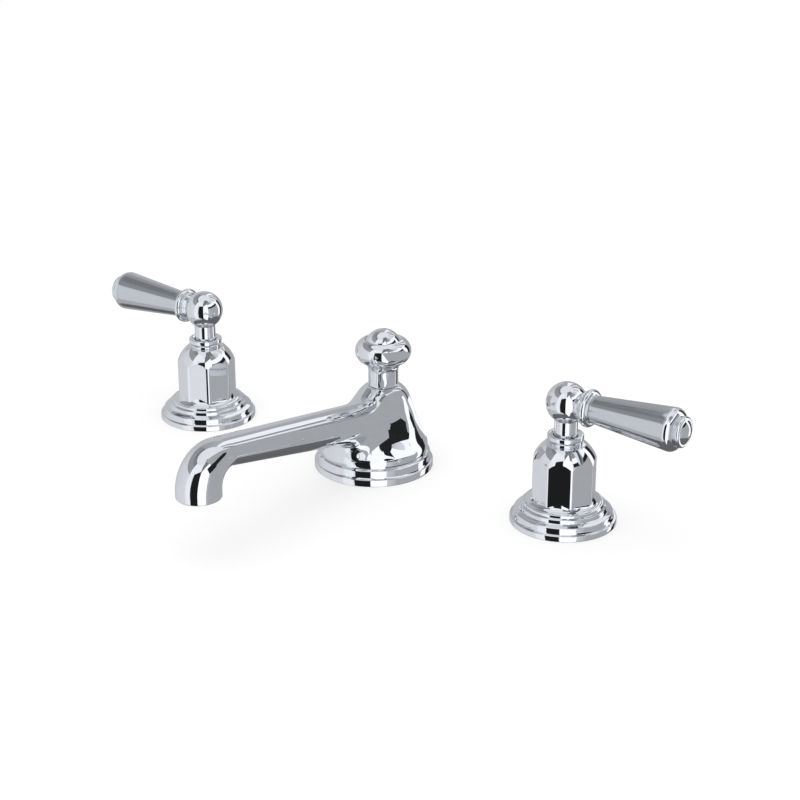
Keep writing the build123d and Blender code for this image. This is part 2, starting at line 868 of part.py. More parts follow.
def make_circlip(x):
    """Open spring ring that keeps the spindle down in the cartridge."""
    with BuildPart() as clip:
        with BuildSketch(level(x, 0, cartridge_top_z + face_play + thread_play)):
            Circle(circlip_r)
            Circle(circlip_groove_r + thread_play, mode=Mode.SUBTRACT)
            with Locations((0, circlip_r)):
                Rectangle(circlip_gap, 2 * circlip_r, mode=Mode.SUBTRACT)
        extrude(amount=circlip_h)
    return clip.part


def make_hub(x, side):
    """Ball on a neck, with the spindle's socket, the lever's boss and the screw's hole."""
    neck_top_z = ball_z - sqrt(ball_r**2 - neck_r**2)
    rear_profile = Plane(origin=(x, 0, 0), x_dir=(0, -1, 0), z_dir=(-1, 0, 0))
    boss_plane = Plane(origin=(x, 0, ball_z), z_dir=(side, 0, 0))
    with BuildPart() as hub:
        with BuildSketch(rear_profile):
            with BuildLine():
                Polyline(
                    (0, ball_z + ball_r),
                    (0, neck_bottom_z),
                    (neck_r, neck_bottom_z),
                    (neck_r, neck_top_z),
                )
                ThreePointArc((neck_r, neck_top_z), (ball_r, ball_z), (0, ball_z + ball_r))
            make_face()
        revolve(axis=vertical_axis(x, 0))
        with BuildSketch(boss_plane):
            Circle(lever_boss_r)
        extrude(amount=lever_boss_end)
        with BuildSketch(boss_plane.offset(lever_boss_end)):
            Circle(lever_boss_r)
        extrude(amount=overrun, mode=Mode.SUBTRACT)
        with BuildSketch(boss_plane.offset(stud_start - face_play)):
            Circle(stud_r + thread_play)
        extrude(amount=lever_boss_end, mode=Mode.SUBTRACT)
        with BuildSketch(level(x, 0, neck_bottom_z)):
            Circle(spindle_r + thread_play)
        extrude(amount=spindle_top_z + face_play - neck_bottom_z, mode=Mode.SUBTRACT)
        with BuildSketch(Plane(origin=(x, 0, screw_z), z_dir=(0, 1, 0))):
            Circle(screw_r + thread_play)
        extrude(amount=ball_r, mode=Mode.SUBTRACT)
    return hub.part


def make_set_screw(x):
    """Grub screw at the back of the ball, tight on the spindle, with a hexagon socket."""
    with BuildPart() as screw:
        start = Plane(origin=(x, spindle_r + thread_play, screw_z), z_dir=(0, 1, 0))
        with BuildSketch(start):
            Circle(screw_r)
        extrude(amount=screw_length)
        with BuildSketch(start.offset(screw_length)):
            RegularPolygon(screw_socket_flats / 2 / cos(radians(30)), 6)
        extrude(amount=-screw_socket_depth, mode=Mode.SUBTRACT)
    return screw.part


def turn_lever_piece(x, side, draw_outline):
    """Turn a lever piece about the lever's axis from the outline that draw_outline draws."""
    with BuildPart() as piece:
        with BuildSketch(lever_plane(x, side)):
            with BuildLine():
                draw_outline()
            make_face()
        revolve(axis=lever_axis(x, side))
    return piece.part


def draw_lever_ring():
    """Small bead by the ball, large bead, and the neck that enters the grip."""
    bead_start = small_bead_end
    bead_middle = bead_start + bead_round
    bead_end = bead_middle + bead_round
    Polyline(
        (lever_boss_end, small_bead_foot_r),
        (lever_boss_end, stud_r + thread_play),
        (ring_end, stud_r + thread_play),
        (ring_end, ring_neck_r),
        (bead_end, ring_neck_r),
    )
    ThreePointArc((bead_end, ring_neck_r), (bead_middle, bead_r), (bead_start, small_bead_foot_r))
    ThreePointArc(
        (bead_start, small_bead_foot_r),
        ((bead_start + lever_boss_end) / 2, small_bead_r),
        (lever_boss_end, small_bead_foot_r),
    )


def draw_lever_grip():
    """Long cone, thicker towards the free end."""
    Polyline(
        (ring_end, stud_r + thread_play),
        (ring_end, grip_start_r - grip_edge),
        (ring_end + grip_edge, grip_start_r),
        (grip_end - grip_edge, grip_end_r),
        (grip_end, grip_end_r - grip_edge),
        (grip_end, stud_r + thread_play),
        close=True,
    )


def draw_lever_shoulder():
    """Rounded end ring of the grip."""
    Polyline(
        (shoulder_end, shoulder_end_r),
        (shoulder_end, stud_r + thread_play),
        (grip_end, stud_r + thread_play),
        (grip_end, grip_end_r),
    )
    ThreePointArc(
        (grip_end, grip_end_r),
        (grip_end + shoulder_side_w, grip_end_r - shoulder_side_inset),
        (shoulder_end, shoulder_end_r),
    )


def draw_lever_button():
    """Closed end nut: bead round a low dome, blind bore for the stud."""
    bore_end = stud_end + face_play
    Polyline(
        (button_bead_start, button_foot_r),
        (shoulder_end, button_foot_r),
        (shoulder_end, stud_r + thread_play),
        (bore_end, stud_r + thread_play),
        (bore_end, 0),
        (button_end, 0),
    )
    ThreePointArc(
        (button_end, 0),
        (button_bead_end + button_dome_side_h, button_dome_r - button_dome_side_inset),
        (button_bead_end, button_dome_r),
    )
    Line((button_bead_end, button_dome_r), (button_bead_end, button_foot_r))
    ThreePointArc(
        (button_bead_end, button_foot_r),
        ((button_bead_start + button_bead_end) / 2, button_foot_r + button_bead_h),
        (button_bead_start, button_foot_r),
    )


def make_stud(x, side):
    """Threaded rod from the ball through the lever's pieces."""
    with BuildPart() as stud:
        with BuildSketch(Plane(origin=(x + side * stud_start, 0, ball_z), z_dir=(side, 0, 0))):
            Circle(stud_r)
        extrude(amount=stud_end - stud_start)
    return stud.part


# Hot and cold valves: the same pieces, with the levers mirrored
for name, side in sides.items():
    x = side * half_spacing
    save(make_flange(x), f"{name}_flange")
    save(
        make_ring(x, 0, gasket_h, barrel_r + face_play, flange_recess_r - face_play),
        f"{name}_flange_gasket",
    )
    save(make_bonnet(x), f"{name}_bonnet")
    save(make_collar(x), f"{name}_collar")
    save(make_valve_body(x), f"{name}_valve_body")
    save(make_cartridge(x), f"{name}_cartridge")
    save(
        make_ring(
            x, seat_z, disc_plane_z - disc_h - seat_z, port_outer_r, disc_chamber_r - face_play
        ),
        f"{name}_seat_seal",
    )
    save(make_disc(x, disc_plane_z - disc_h, 0, False), f"{name}_fixed_disc")
    save(
        make_ring(x, seal_under_z, seal_h, barrel_r + face_play, valve_washer_r),
        f"{name}_deck_seal",
    )
    save(
        make_ring(x, washer_under_z, washer_h, barrel_r + face_play, valve_washer_r),
        f"{name}_deck_washer",
    )
    save(
        make_nut(x, 0, valve_nut_flats, valve_nut_h, barrel_r + thread_play),
        f"{name}_lock_nut",
    )
    save(make_disc(x, disc_plane_z, 90, True), f"{name}_moving_disc")
    save(make_spindle(x), f"{name}_spindle")
    save(make_o_ring(x), f"{name}_spindle_o_ring")
    save(make_circlip(x), f"{name}_circlip")
    save(make_hub(x, side), f"{name}_hub")
    save(make_set_screw(x), f"{name}_set_screw")
    save(turn_lever_piece(x, side, draw_lever_ring), f"{name}_lever_ring")
    save(turn_lever_piece(x, side, draw_lever_grip), f"{name}_lever_grip")
    save(turn_lever_piece(x, side, draw_lever_shoulder), f"{name}_lever_shoulder")
    save(turn_lever_piece(x, side, draw_lever_button), f"{name}_lever_button")
    save(make_stud(x, side), f"{name}_lever_stud")
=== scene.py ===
"""Widespread basin faucet in chrome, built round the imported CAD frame.

Every class below is one sub-assembly of the faucet. Its fields are sizes in millimetres, its
build method makes the meshes, gives them their finish and lets them ride on a CAD body.
"""

import json
import logging
from collections.abc import Sequence
from dataclasses import dataclass
from enum import Enum
from functools import cache
from itertools import product
from math import acos, atan2, cos, hypot, pi, radians, sin, sqrt, tan

import bmesh
import bpy
import numpy as np
from mathutils import Matrix, Vector


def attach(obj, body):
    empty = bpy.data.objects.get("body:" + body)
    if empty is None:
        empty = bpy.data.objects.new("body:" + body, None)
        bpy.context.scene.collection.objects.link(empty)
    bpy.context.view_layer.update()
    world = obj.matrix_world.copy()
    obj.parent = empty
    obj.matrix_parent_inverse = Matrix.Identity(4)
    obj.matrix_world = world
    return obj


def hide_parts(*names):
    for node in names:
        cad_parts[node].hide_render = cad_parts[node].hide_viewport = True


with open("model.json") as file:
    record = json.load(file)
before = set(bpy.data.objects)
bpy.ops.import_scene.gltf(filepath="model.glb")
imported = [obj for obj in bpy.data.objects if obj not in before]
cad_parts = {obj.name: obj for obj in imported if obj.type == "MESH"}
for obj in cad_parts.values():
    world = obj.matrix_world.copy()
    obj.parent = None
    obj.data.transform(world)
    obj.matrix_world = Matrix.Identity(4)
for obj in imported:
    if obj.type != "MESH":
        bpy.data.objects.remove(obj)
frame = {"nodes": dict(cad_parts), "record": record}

LOG = logging.getLogger("faucet")
MM = 0.001
HALF_SPACING = 101.6
SAME = 1e-5

Point = tuple[float, float]
Place = tuple[float, float, float]
Face = tuple[int, ...]
Piece = bpy.types.Object
Tree = bpy.types.NodeTree
Socket = bpy.types.NodeSocket


class Body(Enum):
    """CAD bodies that a piece can ride on."""

    FIXED = "fixed"
    HOT_HANDLE = "hot_handle"
    COLD_HANDLE = "cold_handle"
    LIFT = "lift"


class Slot(Enum):
    """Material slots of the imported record."""

    POLISHED_CHROME = "polished_chrome"
    SATIN_CHROME = "satin_chrome"
    RAW_BRASS = "raw_brass"
    ZINC_STEEL = "zinc_steel"
    RUBBER = "rubber"
    GREY_PLASTIC = "grey_plastic"
    DISC_CERAMIC = "disc_ceramic"


class Side(Enum):
    """The two valves: the sign of X at which each stands."""

    HOT = -1
    COLD = 1

    @property
    def label(self) -> str:
        """Name prefix of the valve's pieces."""
        return self.name.lower()

    @property
    def x(self) -> float:
        """Place of the valve's axis on X."""
        return self.value * HALF_SPACING

    @property
    def handle(self) -> Body:
        """Body that the valve's lever rides on."""
        return Body.HOT_HANDLE if self is Side.HOT else Body.COLD_HANDLE


def linear(colour: str) -> tuple[float, float, float, float]:
    """Turn an sRGB hex colour into linear RGBA.

    Args:
        colour: Colour such as "#C0C4C8".

    Returns:
        Linear red, green, blue and alpha.
    """
    parts = [int(colour[i : i + 2], 16) / 255 for i in (1, 3, 5)]
    red, green, blue = (p / 12.92 if p <= 0.04045 else ((p + 0.055) / 1.055) ** 2.4 for p in parts)
    return red, green, blue, 1.0


def add_node(
    tree: Tree, kind: str, settings: dict | None = None, links: dict | None = None
) -> bpy.types.Node:
    """Add a node to a tree with its settings and links.

    Args:
        tree: Tree that gets the node.
        kind: Node type, such as "ShaderNodeMath".
        settings: Values by name; a name or index of an input sets that input, any other an
            attribute of the node.
        links: Output sockets, or numbers, by name or index of the input that they feed.

    Returns:
        The new node.
    """
    node = tree.nodes.new(kind)
    for name, value in (settings or {}).items():
        if isinstance(name, int) or name in node.inputs and not hasattr(node, name):
            node.inputs[name].default_value = value
        else:
            setattr(node, name, value)
    for name, source in (links or {}).items():
        if isinstance(source, Socket):
            tree.links.new(source, node.inputs[name])
        else:
            node.inputs[name].default_value = source
    return node


class Shader:
    """A material under construction: its tree, its principled shader and its object coordinates."""

    def __init__(self, name: str, colour: str, metallic: float, roughness: float) -> None:
        """Start a material with plain values on the shader's own sockets.

        Args:
            name: Name of the material.
            colour: Base colour as sRGB hex.
            metallic: 1 for a metal, else 0.
            roughness: Mean roughness.
        """
        self.material = bpy.data.materials.new(name)
        self.material.use_nodes = True
        self.tree = self.material.node_tree
        self.surface = self.tree.nodes["Principled BSDF"]
        self.set("Base Color", linear(colour))
        self.set("Metallic", metallic)
        self.set("Roughness", roughness)
        self.place = self.add("ShaderNodeTexCoord").outputs["Object"]

    def add(
        self, kind: str, settings: dict | None = None, links: dict | None = None
    ) -> bpy.types.Node:
        """Add a node to the material's tree."""
        return add_node(self.tree, kind, settings, links)

    def set(self, socket: str, value: object) -> None:
        """Set a value that is the same all over the surface."""
        self.surface.inputs[socket].default_value = value

    def feed(self, socket: str, source: Socket) -> None:
        """Drive a socket of the shader with a pattern."""
        self.tree.links.new(source, self.surface.inputs[socket])

    def mottle(
        self, per_metre: float, detail: float = 2.0, stretch: Place = (1.0, 1.0, 1.0)
    ) -> Socket:
        """Give an uneven pattern in object coordinates.

        Args:
            per_metre: Blobs to the metre.
            detail: How much finer detail lies in them.
            stretch: Scale along each axis; less than 1 draws the blobs out.

        Returns:
            Value between 0 and 1.
        """
        place = self.add("ShaderNodeMapping", {"Scale": stretch}, {"Vector": self.place})
        settings = {"Scale": per_metre, "Detail": detail, "Roughness": 0.55}
        links = {"Vector": place.outputs["Vector"]}
        return self.add("ShaderNodeTexNoise", settings, links).outputs["Fac"]


@dataclass(frozen=True)
class Finish:
    """A finish: its plain values, and a pattern that shades its colour and its roughness."""

    name: str
    colour: str
    roughness: float
    tones: tuple[str, str]
    haze: Point
    relief_mm: float
    relief_share: float
    metallic: float = 1.0
    usual: Point = (0.3, 0.7)

    def pattern(self, shader: Shader) -> Socket:
        """Give the value that shades the finish."""
        raise NotImplementedError

    def relief(self, shader: Shader, pattern: Socket) -> Socket:
        """Give the height of the surface's relief."""
        raise NotImplementedError

    @cache
    def material(self) -> bpy.types.Material:
        """Build the material, once for each finish.

        Returns:
            Material with the pattern in its colour and roughness and the relief in its normal.
        """
        shader = Shader(self.name, self.colour, self.metallic, self.roughness)
        pattern = self.pattern(shader)
        dark, light = (linear(tone) for tone in self.tones)
        tones = shader.add(
            "ShaderNodeMix", {"data_type": "RGBA", 6: dark, 7: light}, {0: pattern}
        )
        names = ("From Min", "From Max", "To Min", "To Max")
        span = dict(zip(names, (*self.usual, *self.haze)))
        haze = shader.add("ShaderNodeMapRange", span, {"Value": pattern})
        depth = {"Strength": self.relief_share, "Distance": self.relief_mm * MM}
        relief = shader.add("ShaderNodeBump", depth, {"Height": self.relief(shader, pattern)})
        shader.feed("Base Color", tones.outputs[2])
        shader.feed("Roughness", haze.outputs["Result"])
        shader.feed("Normal", relief.outputs[0])
        return shader.material


@dataclass(frozen=True)
class PolishedChrome(Finish):
    """Chrome plate on buffed brass: near-mirror, a cool white metal with hardly any haze."""

    name: str = "polished_chrome_plate"
    colour: str = "#E9EBEE"
    roughness: float = 0.035
    tones: tuple[str, str] = ("#E4E6EA", "#EEF0F2")
    haze: Point = (0.023, 0.047)
    relief_mm: float = 0.0012
    relief_share: float = 1.0
    ripples_per_metre: float = 70.0
    wipe_marks_per_metre: float = 260.0

    def pattern(self, shader: Shader) -> Socket:
        """Slightly uneven haze, as a polishing cloth leaves it."""
        return shader.mottle(self.wipe_marks_per_metre, 3.0)

    def relief(self, shader: Shader, pattern: Socket) -> Socket:
        """Faint ripple that buffing leaves."""
        return shader.mottle(self.ripples_per_metre, 0.0)


@dataclass(frozen=True)
class SatinChrome(Finish):
    """Satin chrome plate on brushed brass: broad soft highlights, grain along the lever."""

    name: str = "satin_chrome_plate"
    colour: str = "#D4D7DB"
    roughness: float = 0.14
    tones: tuple[str, str] = ("#CCCFD3", "#DCDFE2")
    haze: Point = (0.11, 0.17)
    relief_mm: float = 0.0008
    relief_share: float = 0.3
    grain_mm: float = 0.35
    grain_stretch: float = 0.012

    def pattern(self, shader: Shader) -> Socket:
        """Brushed streaks; real grain is finer, and is coarser here to show."""
        return shader.mottle(1 / (self.grain_mm * MM), stretch=(self.grain_stretch, 1.0, 1.0))

    def relief(self, shader: Shader, pattern: Socket) -> Socket:
        """Shallow scratches along the streaks."""
        return pattern


@dataclass(frozen=True)
class RawBrass(Finish):
    """Turned yellow brass without plating: fine tool rings, darker where it has tarnished."""

    name: str = "turned_brass"
    colour: str = "#C6A15A"
    roughness: float = 0.3
    tones: tuple[str, str] = ("#9C7437", "#D4B36C")
    haze: Point = (0.38, 0.24)
    relief_mm: float = 0.01
    relief_share: float = 0.4
    tool_pitch_mm: float = 0.4
    tarnish_per_metre: float = 90.0

    def pattern(self, shader: Shader) -> Socket:
        """Patches of tarnish."""
        return shader.mottle(self.tarnish_per_metre, 4.0)

    def relief(self, shader: Shader, pattern: Socket) -> Socket:
        """Rings of the turning tool; a wave texture has 20 bands to each unit of its scale.

        Args:
            shader: Material under construction.
            pattern: Value that shades the finish; not used.

        Returns:
            Height between 0 and 1.
        """
        scale = 1 / (self.tool_pitch_mm * MM) / 20
        settings = {"bands_direction": "Z", "Scale": scale, "Distortion": 0.4}
        rings = shader.add("ShaderNodeTexWave", settings, {"Vector": shader.place})
        return rings.outputs["Fac"]


@dataclass(frozen=True)
class ZincSteel(Finish):
    """Pressed steel with bright zinc plate: a bluish grey with a fine crystalline mottle."""

    name: str = "zinc_plated_steel"
    colour: str = "#AEB1B3"
    roughness: float = 0.36
    tones: tuple[str, str] = ("#9DA1A5", "#C2C5C6")
    haze: Point = (0.42, 0.3)
    relief_mm: float = 0.004
    relief_share: float = 0.4
    crystal_mm: float = 1.6
    pits_per_metre: float = 900.0

    def pattern(self, shader: Shader) -> Socket:
        """Small plates of zinc that differ a little in tone.

        Args:
            shader: Material under construction.

        Returns:
            Value between 0 and 1.
        """
        settings = {"Scale": 1 / (self.crystal_mm * MM)}
        cells = shader.add("ShaderNodeTexVoronoi", settings, {"Vector": shader.place})
        return shader.add("ShaderNodeRGBToBW", {}, {0: cells.outputs["Color"]}).outputs[0]

    def relief(self, shader: Shader, pattern: Socket) -> Socket:
        """Fine pits under the plate."""
        return shader.mottle(self.pits_per_metre)


@dataclass(frozen=True)
class Rubber(Finish):
    """Moulded EPDM rubber: black and matt, with a dusty bloom in its low spots."""

    name: str = "moulded_rubber"
    colour: str = "#1B1B1C"
    roughness: float = 0.72
    tones: tuple[str, str] = ("#151516", "#2A2A2B")
    haze: Point = (0.62, 0.85)
    relief_mm: float = 0.02
    relief_share: float = 0.5
    metallic: float = 0.0
    bloom_per_metre: float = 300.0
    peel_per_metre: float = 1800.0

    def pattern(self, shader: Shader) -> Socket:
        """Pale bloom."""
        return shader.mottle(self.bloom_per_metre, 4.0)

    def relief(self, shader: Shader, pattern: Socket) -> Socket:
        """Slight orange peel."""
        return shader.mottle(self.peel_per_metre)


@dataclass(frozen=True)
class GreyPlastic(Finish):
    """Moulded acetal: mid grey with the low sheen of a spark-eroded mould."""

    name: str = "moulded_acetal"
    colour: str = "#74777B"
    roughness: float = 0.46
    tones: tuple[str, str] = ("#6C6F73", "#7E8185")
    haze: Point = (0.4, 0.52)
    relief_mm: float = 0.012
    relief_share: float = 0.4
    metallic: float = 0.0
    grain_mm: float = 0.4

    def pattern(self, shader: Shader) -> Socket:
        """Fine even grain of the mould."""
        return shader.mottle(1 / (self.grain_mm * MM))

    def relief(self, shader: Shader, pattern: Socket) -> Socket:
        """The same grain in the surface."""
        return pattern


@dataclass(frozen=True)
class DiscCeramic(Finish):
    """Lapped alumina: ivory white and dense, with a soft gloss and faint lapping marks."""

    name: str = "lapped_alumina"
    colour: str = "#EAE7E0"
    roughness: float = 0.22
    tones: tuple[str, str] = ("#E2DED5", "#F1EFEA")
    haze: Point = (0.17, 0.28)
    relief_mm: float = 0.002
    relief_share: float = 0.3
    metallic: float = 0.0
    mottle_per_metre: float = 500.0
    lap_marks_per_metre: float = 3000.0
    lap_stretch: float = 0.1

    def pattern(self, shader: Shader) -> Socket:
        """Faint mottle."""
        return shader.mottle(self.mottle_per_metre, 3.0)

    def relief(self, shader: Shader, pattern: Socket) -> Socket:
        """Lapping marks along Y."""
        return shader.mottle(self.lap_marks_per_metre, stretch=(1.0, self.lap_stretch, 1.0))


FINISHES = {
    Slot.POLISHED_CHROME: PolishedChrome(),
    Slot.SATIN_CHROME: SatinChrome(),
    Slot.RAW_BRASS: RawBrass(),
    Slot.ZINC_STEEL: ZincSteel(),
    Slot.RUBBER: Rubber(),
    Slot.GREY_PLASTIC: GreyPlastic(),
    Slot.DISC_CERAMIC: DiscCeramic(),
}


class Outline:
    """Half section of a turned piece, as radius and height, drawn from point to point."""

    run_step = 2.5
    edge_step = 0.12
    shortest_eased = 0.6
    arc_step = radians(4.0)
    ease_steps = 6

    def __init__(self, radius: float, height: float) -> None:
        """Start at a point.

        Args:
            radius: Radius of the point.
            height: Height of the point.
        """
        self.runs: list[list[Point]] = []
        self.cuts: list[float] = []
        self.end: Point = (radius, height)

    def line(self, radius: float, height: float, ease: float = 0.0) -> "Outline":
        """Draw a straight run.

        Args:
            radius: Radius of its end.
            height: Height of its end.
            ease: Size of the rounding at the corner where it starts.

        Returns:
            The outline itself.
        """
        (r0, h0), length = self.end, hypot(radius - self.end[0], height - self.end[1])
        count = max(1, round(length / self.run_step))
        shares = [i / count for i in range(count + 1)]
        if length > self.shortest_eased:
            shares = sorted({*shares, self.edge_step / length, 1 - self.edge_step / length})
        run = [(r0 + (radius - r0) * s, h0 + (height - h0) * s) for s in shares]
        return self._add(run, ease)

    def lines(self, *corners: tuple[float, ...]) -> "Outline":
        """Draw straight runs.

        Args:
            corners: Radius and height of each run's end, and the rounding where it starts.

        Returns:
            The outline itself.
        """
        for corner in corners:
            self.line(*corner)
        return self

    def arc(self, middle: Point, end: Point, ease: float = 0.0) -> "Outline":
        """Draw an arc through a middle point.

        Args:
            middle: Any point on the arc.
            end: Its last point.
            ease: Size of the rounding at the corner where it starts.

        Returns:
            The outline itself.
        """
        (x, y), radius = circle_through(self.end, middle, end)
        angles = [atan2(p[1] - y, p[0] - x) for p in (self.end, middle, end)]
        turn, part = ((a - angles[0]) % (2 * pi) for a in (angles[2], angles[1]))
        if part > turn:
            turn -= 2 * pi
        count = max(3, round(abs(turn) / self.arc_step))
        steps = [angles[0] + turn * i / count for i in range(count + 1)]
        return self._add([(x + radius * cos(a), y + radius * sin(a)) for a in steps], ease)

    def points(self, closed: bool) -> list[Point]:
        """Give all points in order, with the eased corners rounded.

        Args:
            closed: Whether the last run ends where the first one starts.

        Returns:
            Points from start to end, without a repeated last one.
        """
        runs, steps = [list(run) for run in self.runs], self.ease_steps
        for index, ease in enumerate(self.cuts):
            if not ease or (index == 0 and not closed):
                continue
            before, after = runs[index - 1], runs[index]
            start, corner, finish = walk(before[::-1], ease), after[0], walk(after, ease)
            curve = [
                tuple(
                    (1 - t) ** 2 * a + 2 * t * (1 - t) * b + t * t * c
                    for a, b, c in zip(start[-1], corner, finish[-1])
                )
                for t in (i / steps for i in range(steps + 1))
            ]
            runs[index - 1] = keep_after(before[::-1], ease)[::-1] + curve[: steps // 2 + 1]
            runs[index] = curve[steps // 2 :] + keep_after(after, ease)
        out: list[Point] = []
        for run in runs:
            for point in run:
                if not out or hypot(point[0] - out[-1][0], point[1] - out[-1][1]) > SAME:
                    out.append(point)
        if closed and hypot(out[0][0] - out[-1][0], out[0][1] - out[-1][1]) < SAME:
            out.pop()
        return out

    def _add(self, run: list[Point], ease: float) -> "Outline":
        """Append a run and the easing of the corner before it.

        Args:
            run: Points of the run.
            ease: Size of the rounding at the corner where it starts.

        Returns:
            The outline itself.
        """
        self.runs.append(run)
        self.cuts.append(ease)
        self.end = run[-1]
        return self


def circle_through(a: Point, b: Point, c: Point) -> tuple[Point, float]:
    """Work out the circle through three points.

    Args:
        a: First point.
        b: Second point.
        c: Third point.

    Returns:
        Centre and radius.
    """
    (ax, ay), (bx, by), (cx, cy) = a, b, c
    d = 2 * (ax * (by - cy) + bx * (cy - ay) + cx * (ay - by))
    sa, sb, sc = ax * ax + ay * ay, bx * bx + by * by, cx * cx + cy * cy
    x = (sa * (by - cy) + sb * (cy - ay) + sc * (ay - by)) / d
    y = (sa * (cx - bx) + sb * (ax - cx) + sc * (bx - ax)) / d
    return (x, y), hypot(ax - x, ay - y)


def walk(run: Sequence[Point], distance: float) -> list[Point]:
    """Follow a run for a distance from its start.

    Args:
        run: Points of the run.
        distance: How far to go.

    Returns:
        The points passed and the point at that distance.
    """
    out, left = [run[0]], distance
    for a, b in zip(run, run[1:]):
        step = hypot(b[0] - a[0], b[1] - a[1])
        if step >= left:
            share = left / step
            return [*out, (a[0] + (b[0] - a[0]) * share, a[1] + (b[1] - a[1]) * share)]
        left -= step
        out.append(b)
    return out


def keep_after(run: Sequence[Point], distance: float) -> list[Point]:
    """Drop the first part of a run.

    Args:
        run: Points of the run.
        distance: Length of the part to drop.

    Returns:
        The points that lie further than that from the start.
    """
    out, gone = [], 0.0
    for a, b in zip(run, run[1:]):
        gone += hypot(b[0] - a[0], b[1] - a[1])
        if gone > distance + SAME / 10:
            out.append(b)
    return out


@dataclass(frozen=True)
class TurningAxis:
    """Axis that a piece is turned about: a point on it, its direction and a square direction."""

    origin: Place
    along: Place = (0.0, 0.0, 1.0)
    across: Place = (1.0, 0.0, 0.0)

    def place(self, radius: np.ndarray, height: np.ndarray, angle: np.ndarray) -> np.ndarray:
        """Turn cylindrical coordinates into places in millimetres.

        Args:
            radius: Distance of each place from the axis.
            height: How far along the axis it lies.
            angle: Its turn about the axis.

        Returns:
            One row of X, Y, Z for each place.
        """
        along, across = np.array(self.along), np.array(self.across)
        third = np.cross(along, across)
        ring = np.cos(angle)[:, None] * across + np.sin(angle)[:, None] * third
        return np.array(self.origin) + height[:, None] * along + radius[:, None] * ring


def link(name: str, data: bpy.types.ID) -> Piece:
    """Put a mesh, camera or lamp into the scene as an object.

    Args:
        name: Name of the object.
        data: The mesh, camera or lamp.

    Returns:
        The object.
    """
    piece = bpy.data.objects.new(name, data)
    bpy.context.scene.collection.objects.link(piece)
    return piece


def link_bmesh(name: str, work: bmesh.types.BMesh) -> Piece:
    """Turn a mesh under construction into a smooth-shaded object.

    Args:
        name: Name of the piece.
        work: Mesh under construction, in metres; it is freed.

    Returns:
        The object, linked to the scene.
    """
    mesh = bpy.data.meshes.new(name)
    work.to_mesh(mesh)
    work.free()
    mesh.shade_smooth()
    return link(name, mesh)


def make_object(name: str, places: np.ndarray, faces: list[Face]) -> Piece:
    """Make a smooth-shaded object from places in millimetres.

    Args:
        name: Name of the piece.
        places: One row of X, Y, Z in millimetres for each vertex.
        faces: Vertex numbers of each face.

    Returns:
        The object, linked to the scene, its faces pointing outwards.
    """
    mesh = bpy.data.meshes.new(name)
    mesh.from_pydata((places * MM).tolist(), [], faces)
    work = bmesh.new()
    work.from_mesh(mesh)
    bmesh.ops.recalc_face_normals(work, faces=work.faces)
    bpy.data.meshes.remove(mesh)
    return link_bmesh(name, work)


def turn(
    name: str, outline: Outline, axis: TurningAxis, closed: bool = True, segments: int = 160
) -> Piece:
    """Turn an outline about an axis.

    Args:
        name: Name of the piece.
        outline: Half section; where it isn't closed, it starts and ends on the axis.
        axis: Axis to turn it about.
        closed: Whether the outline is a ring round the axis.
        segments: Number of steps round the axis.

    Returns:
        The turned piece.
    """
    angles = np.arange(segments) * 2 * pi / segments
    rows: list[np.ndarray] = []
    ids: list[range] = []
    total = 0
    for radius, height in outline.points(closed):
        count = 1 if radius < SAME else segments
        rows.append(axis.place(np.full(count, radius), np.full(count, height), angles[:count]))
        ids.append(range(total, total + count))
        total += count
    faces: list[Face] = []
    for low, high in zip(ids, [*ids[1:], ids[0]] if closed else ids[1:]):
        for i in range(segments):
            j = (i + 1) % segments
            if len(low) == 1:
                faces.append((low[0], high[i], high[j]))
            elif len(high) == 1:
                faces.append((low[i], low[j], high[0]))
            else:
                faces.append((low[i], low[j], high[j], high[i]))
    return make_object(name, np.concatenate(rows), faces)


def join(name: str, *pieces: Piece) -> Piece:
    """Join plain mesh objects into one.

    Args:
        name: Name of the joined piece.
        pieces: Objects to join; they are removed.

    Returns:
        The joined piece.
    """
    work = bmesh.new()
    for piece in pieces:
        work.from_mesh(piece.data)
    for piece in pieces:
        bpy.data.objects.remove(piece)
    return link_bmesh(name, work)


def cut_away(piece: Piece, tool: Piece, solver: str) -> None:
    """Cut one solid out of another.

    Args:
        piece: Solid that is cut.
        tool: Solid that is taken away from it, and removed.
        solver: Solver of the Boolean.
    """
    cut = piece.modifiers.new("cut", "BOOLEAN")
    cut.operation, cut.solver, cut.object = "DIFFERENCE", solver, tool
    evaluated = piece.evaluated_get(bpy.context.evaluated_depsgraph_get())
    mesh = bpy.data.meshes.new_from_object(evaluated)
    piece.modifiers.remove(cut)
    piece.data = mesh
    bpy.data.objects.remove(tool)


def dress(piece: Piece, slot: Slot, body: Body, *nodes: str) -> Piece:
    """Give a piece its finish and body, and let it stand for CAD nodes.

    Args:
        piece: Finished mesh object.
        slot: Record slot that its finish comes from.
        body: Body that it rides on.
        nodes: CAD nodes that it replaces.

    Returns:
        The piece.
    """
    piece.data.materials.clear()
    piece.data.materials.append(FINISHES[slot].material())
    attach(piece, body.value)
    if nodes:
        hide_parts(*nodes)
    LOG.info("%s: %d faces", piece.name, len(piece.data.polygons))
    return piece


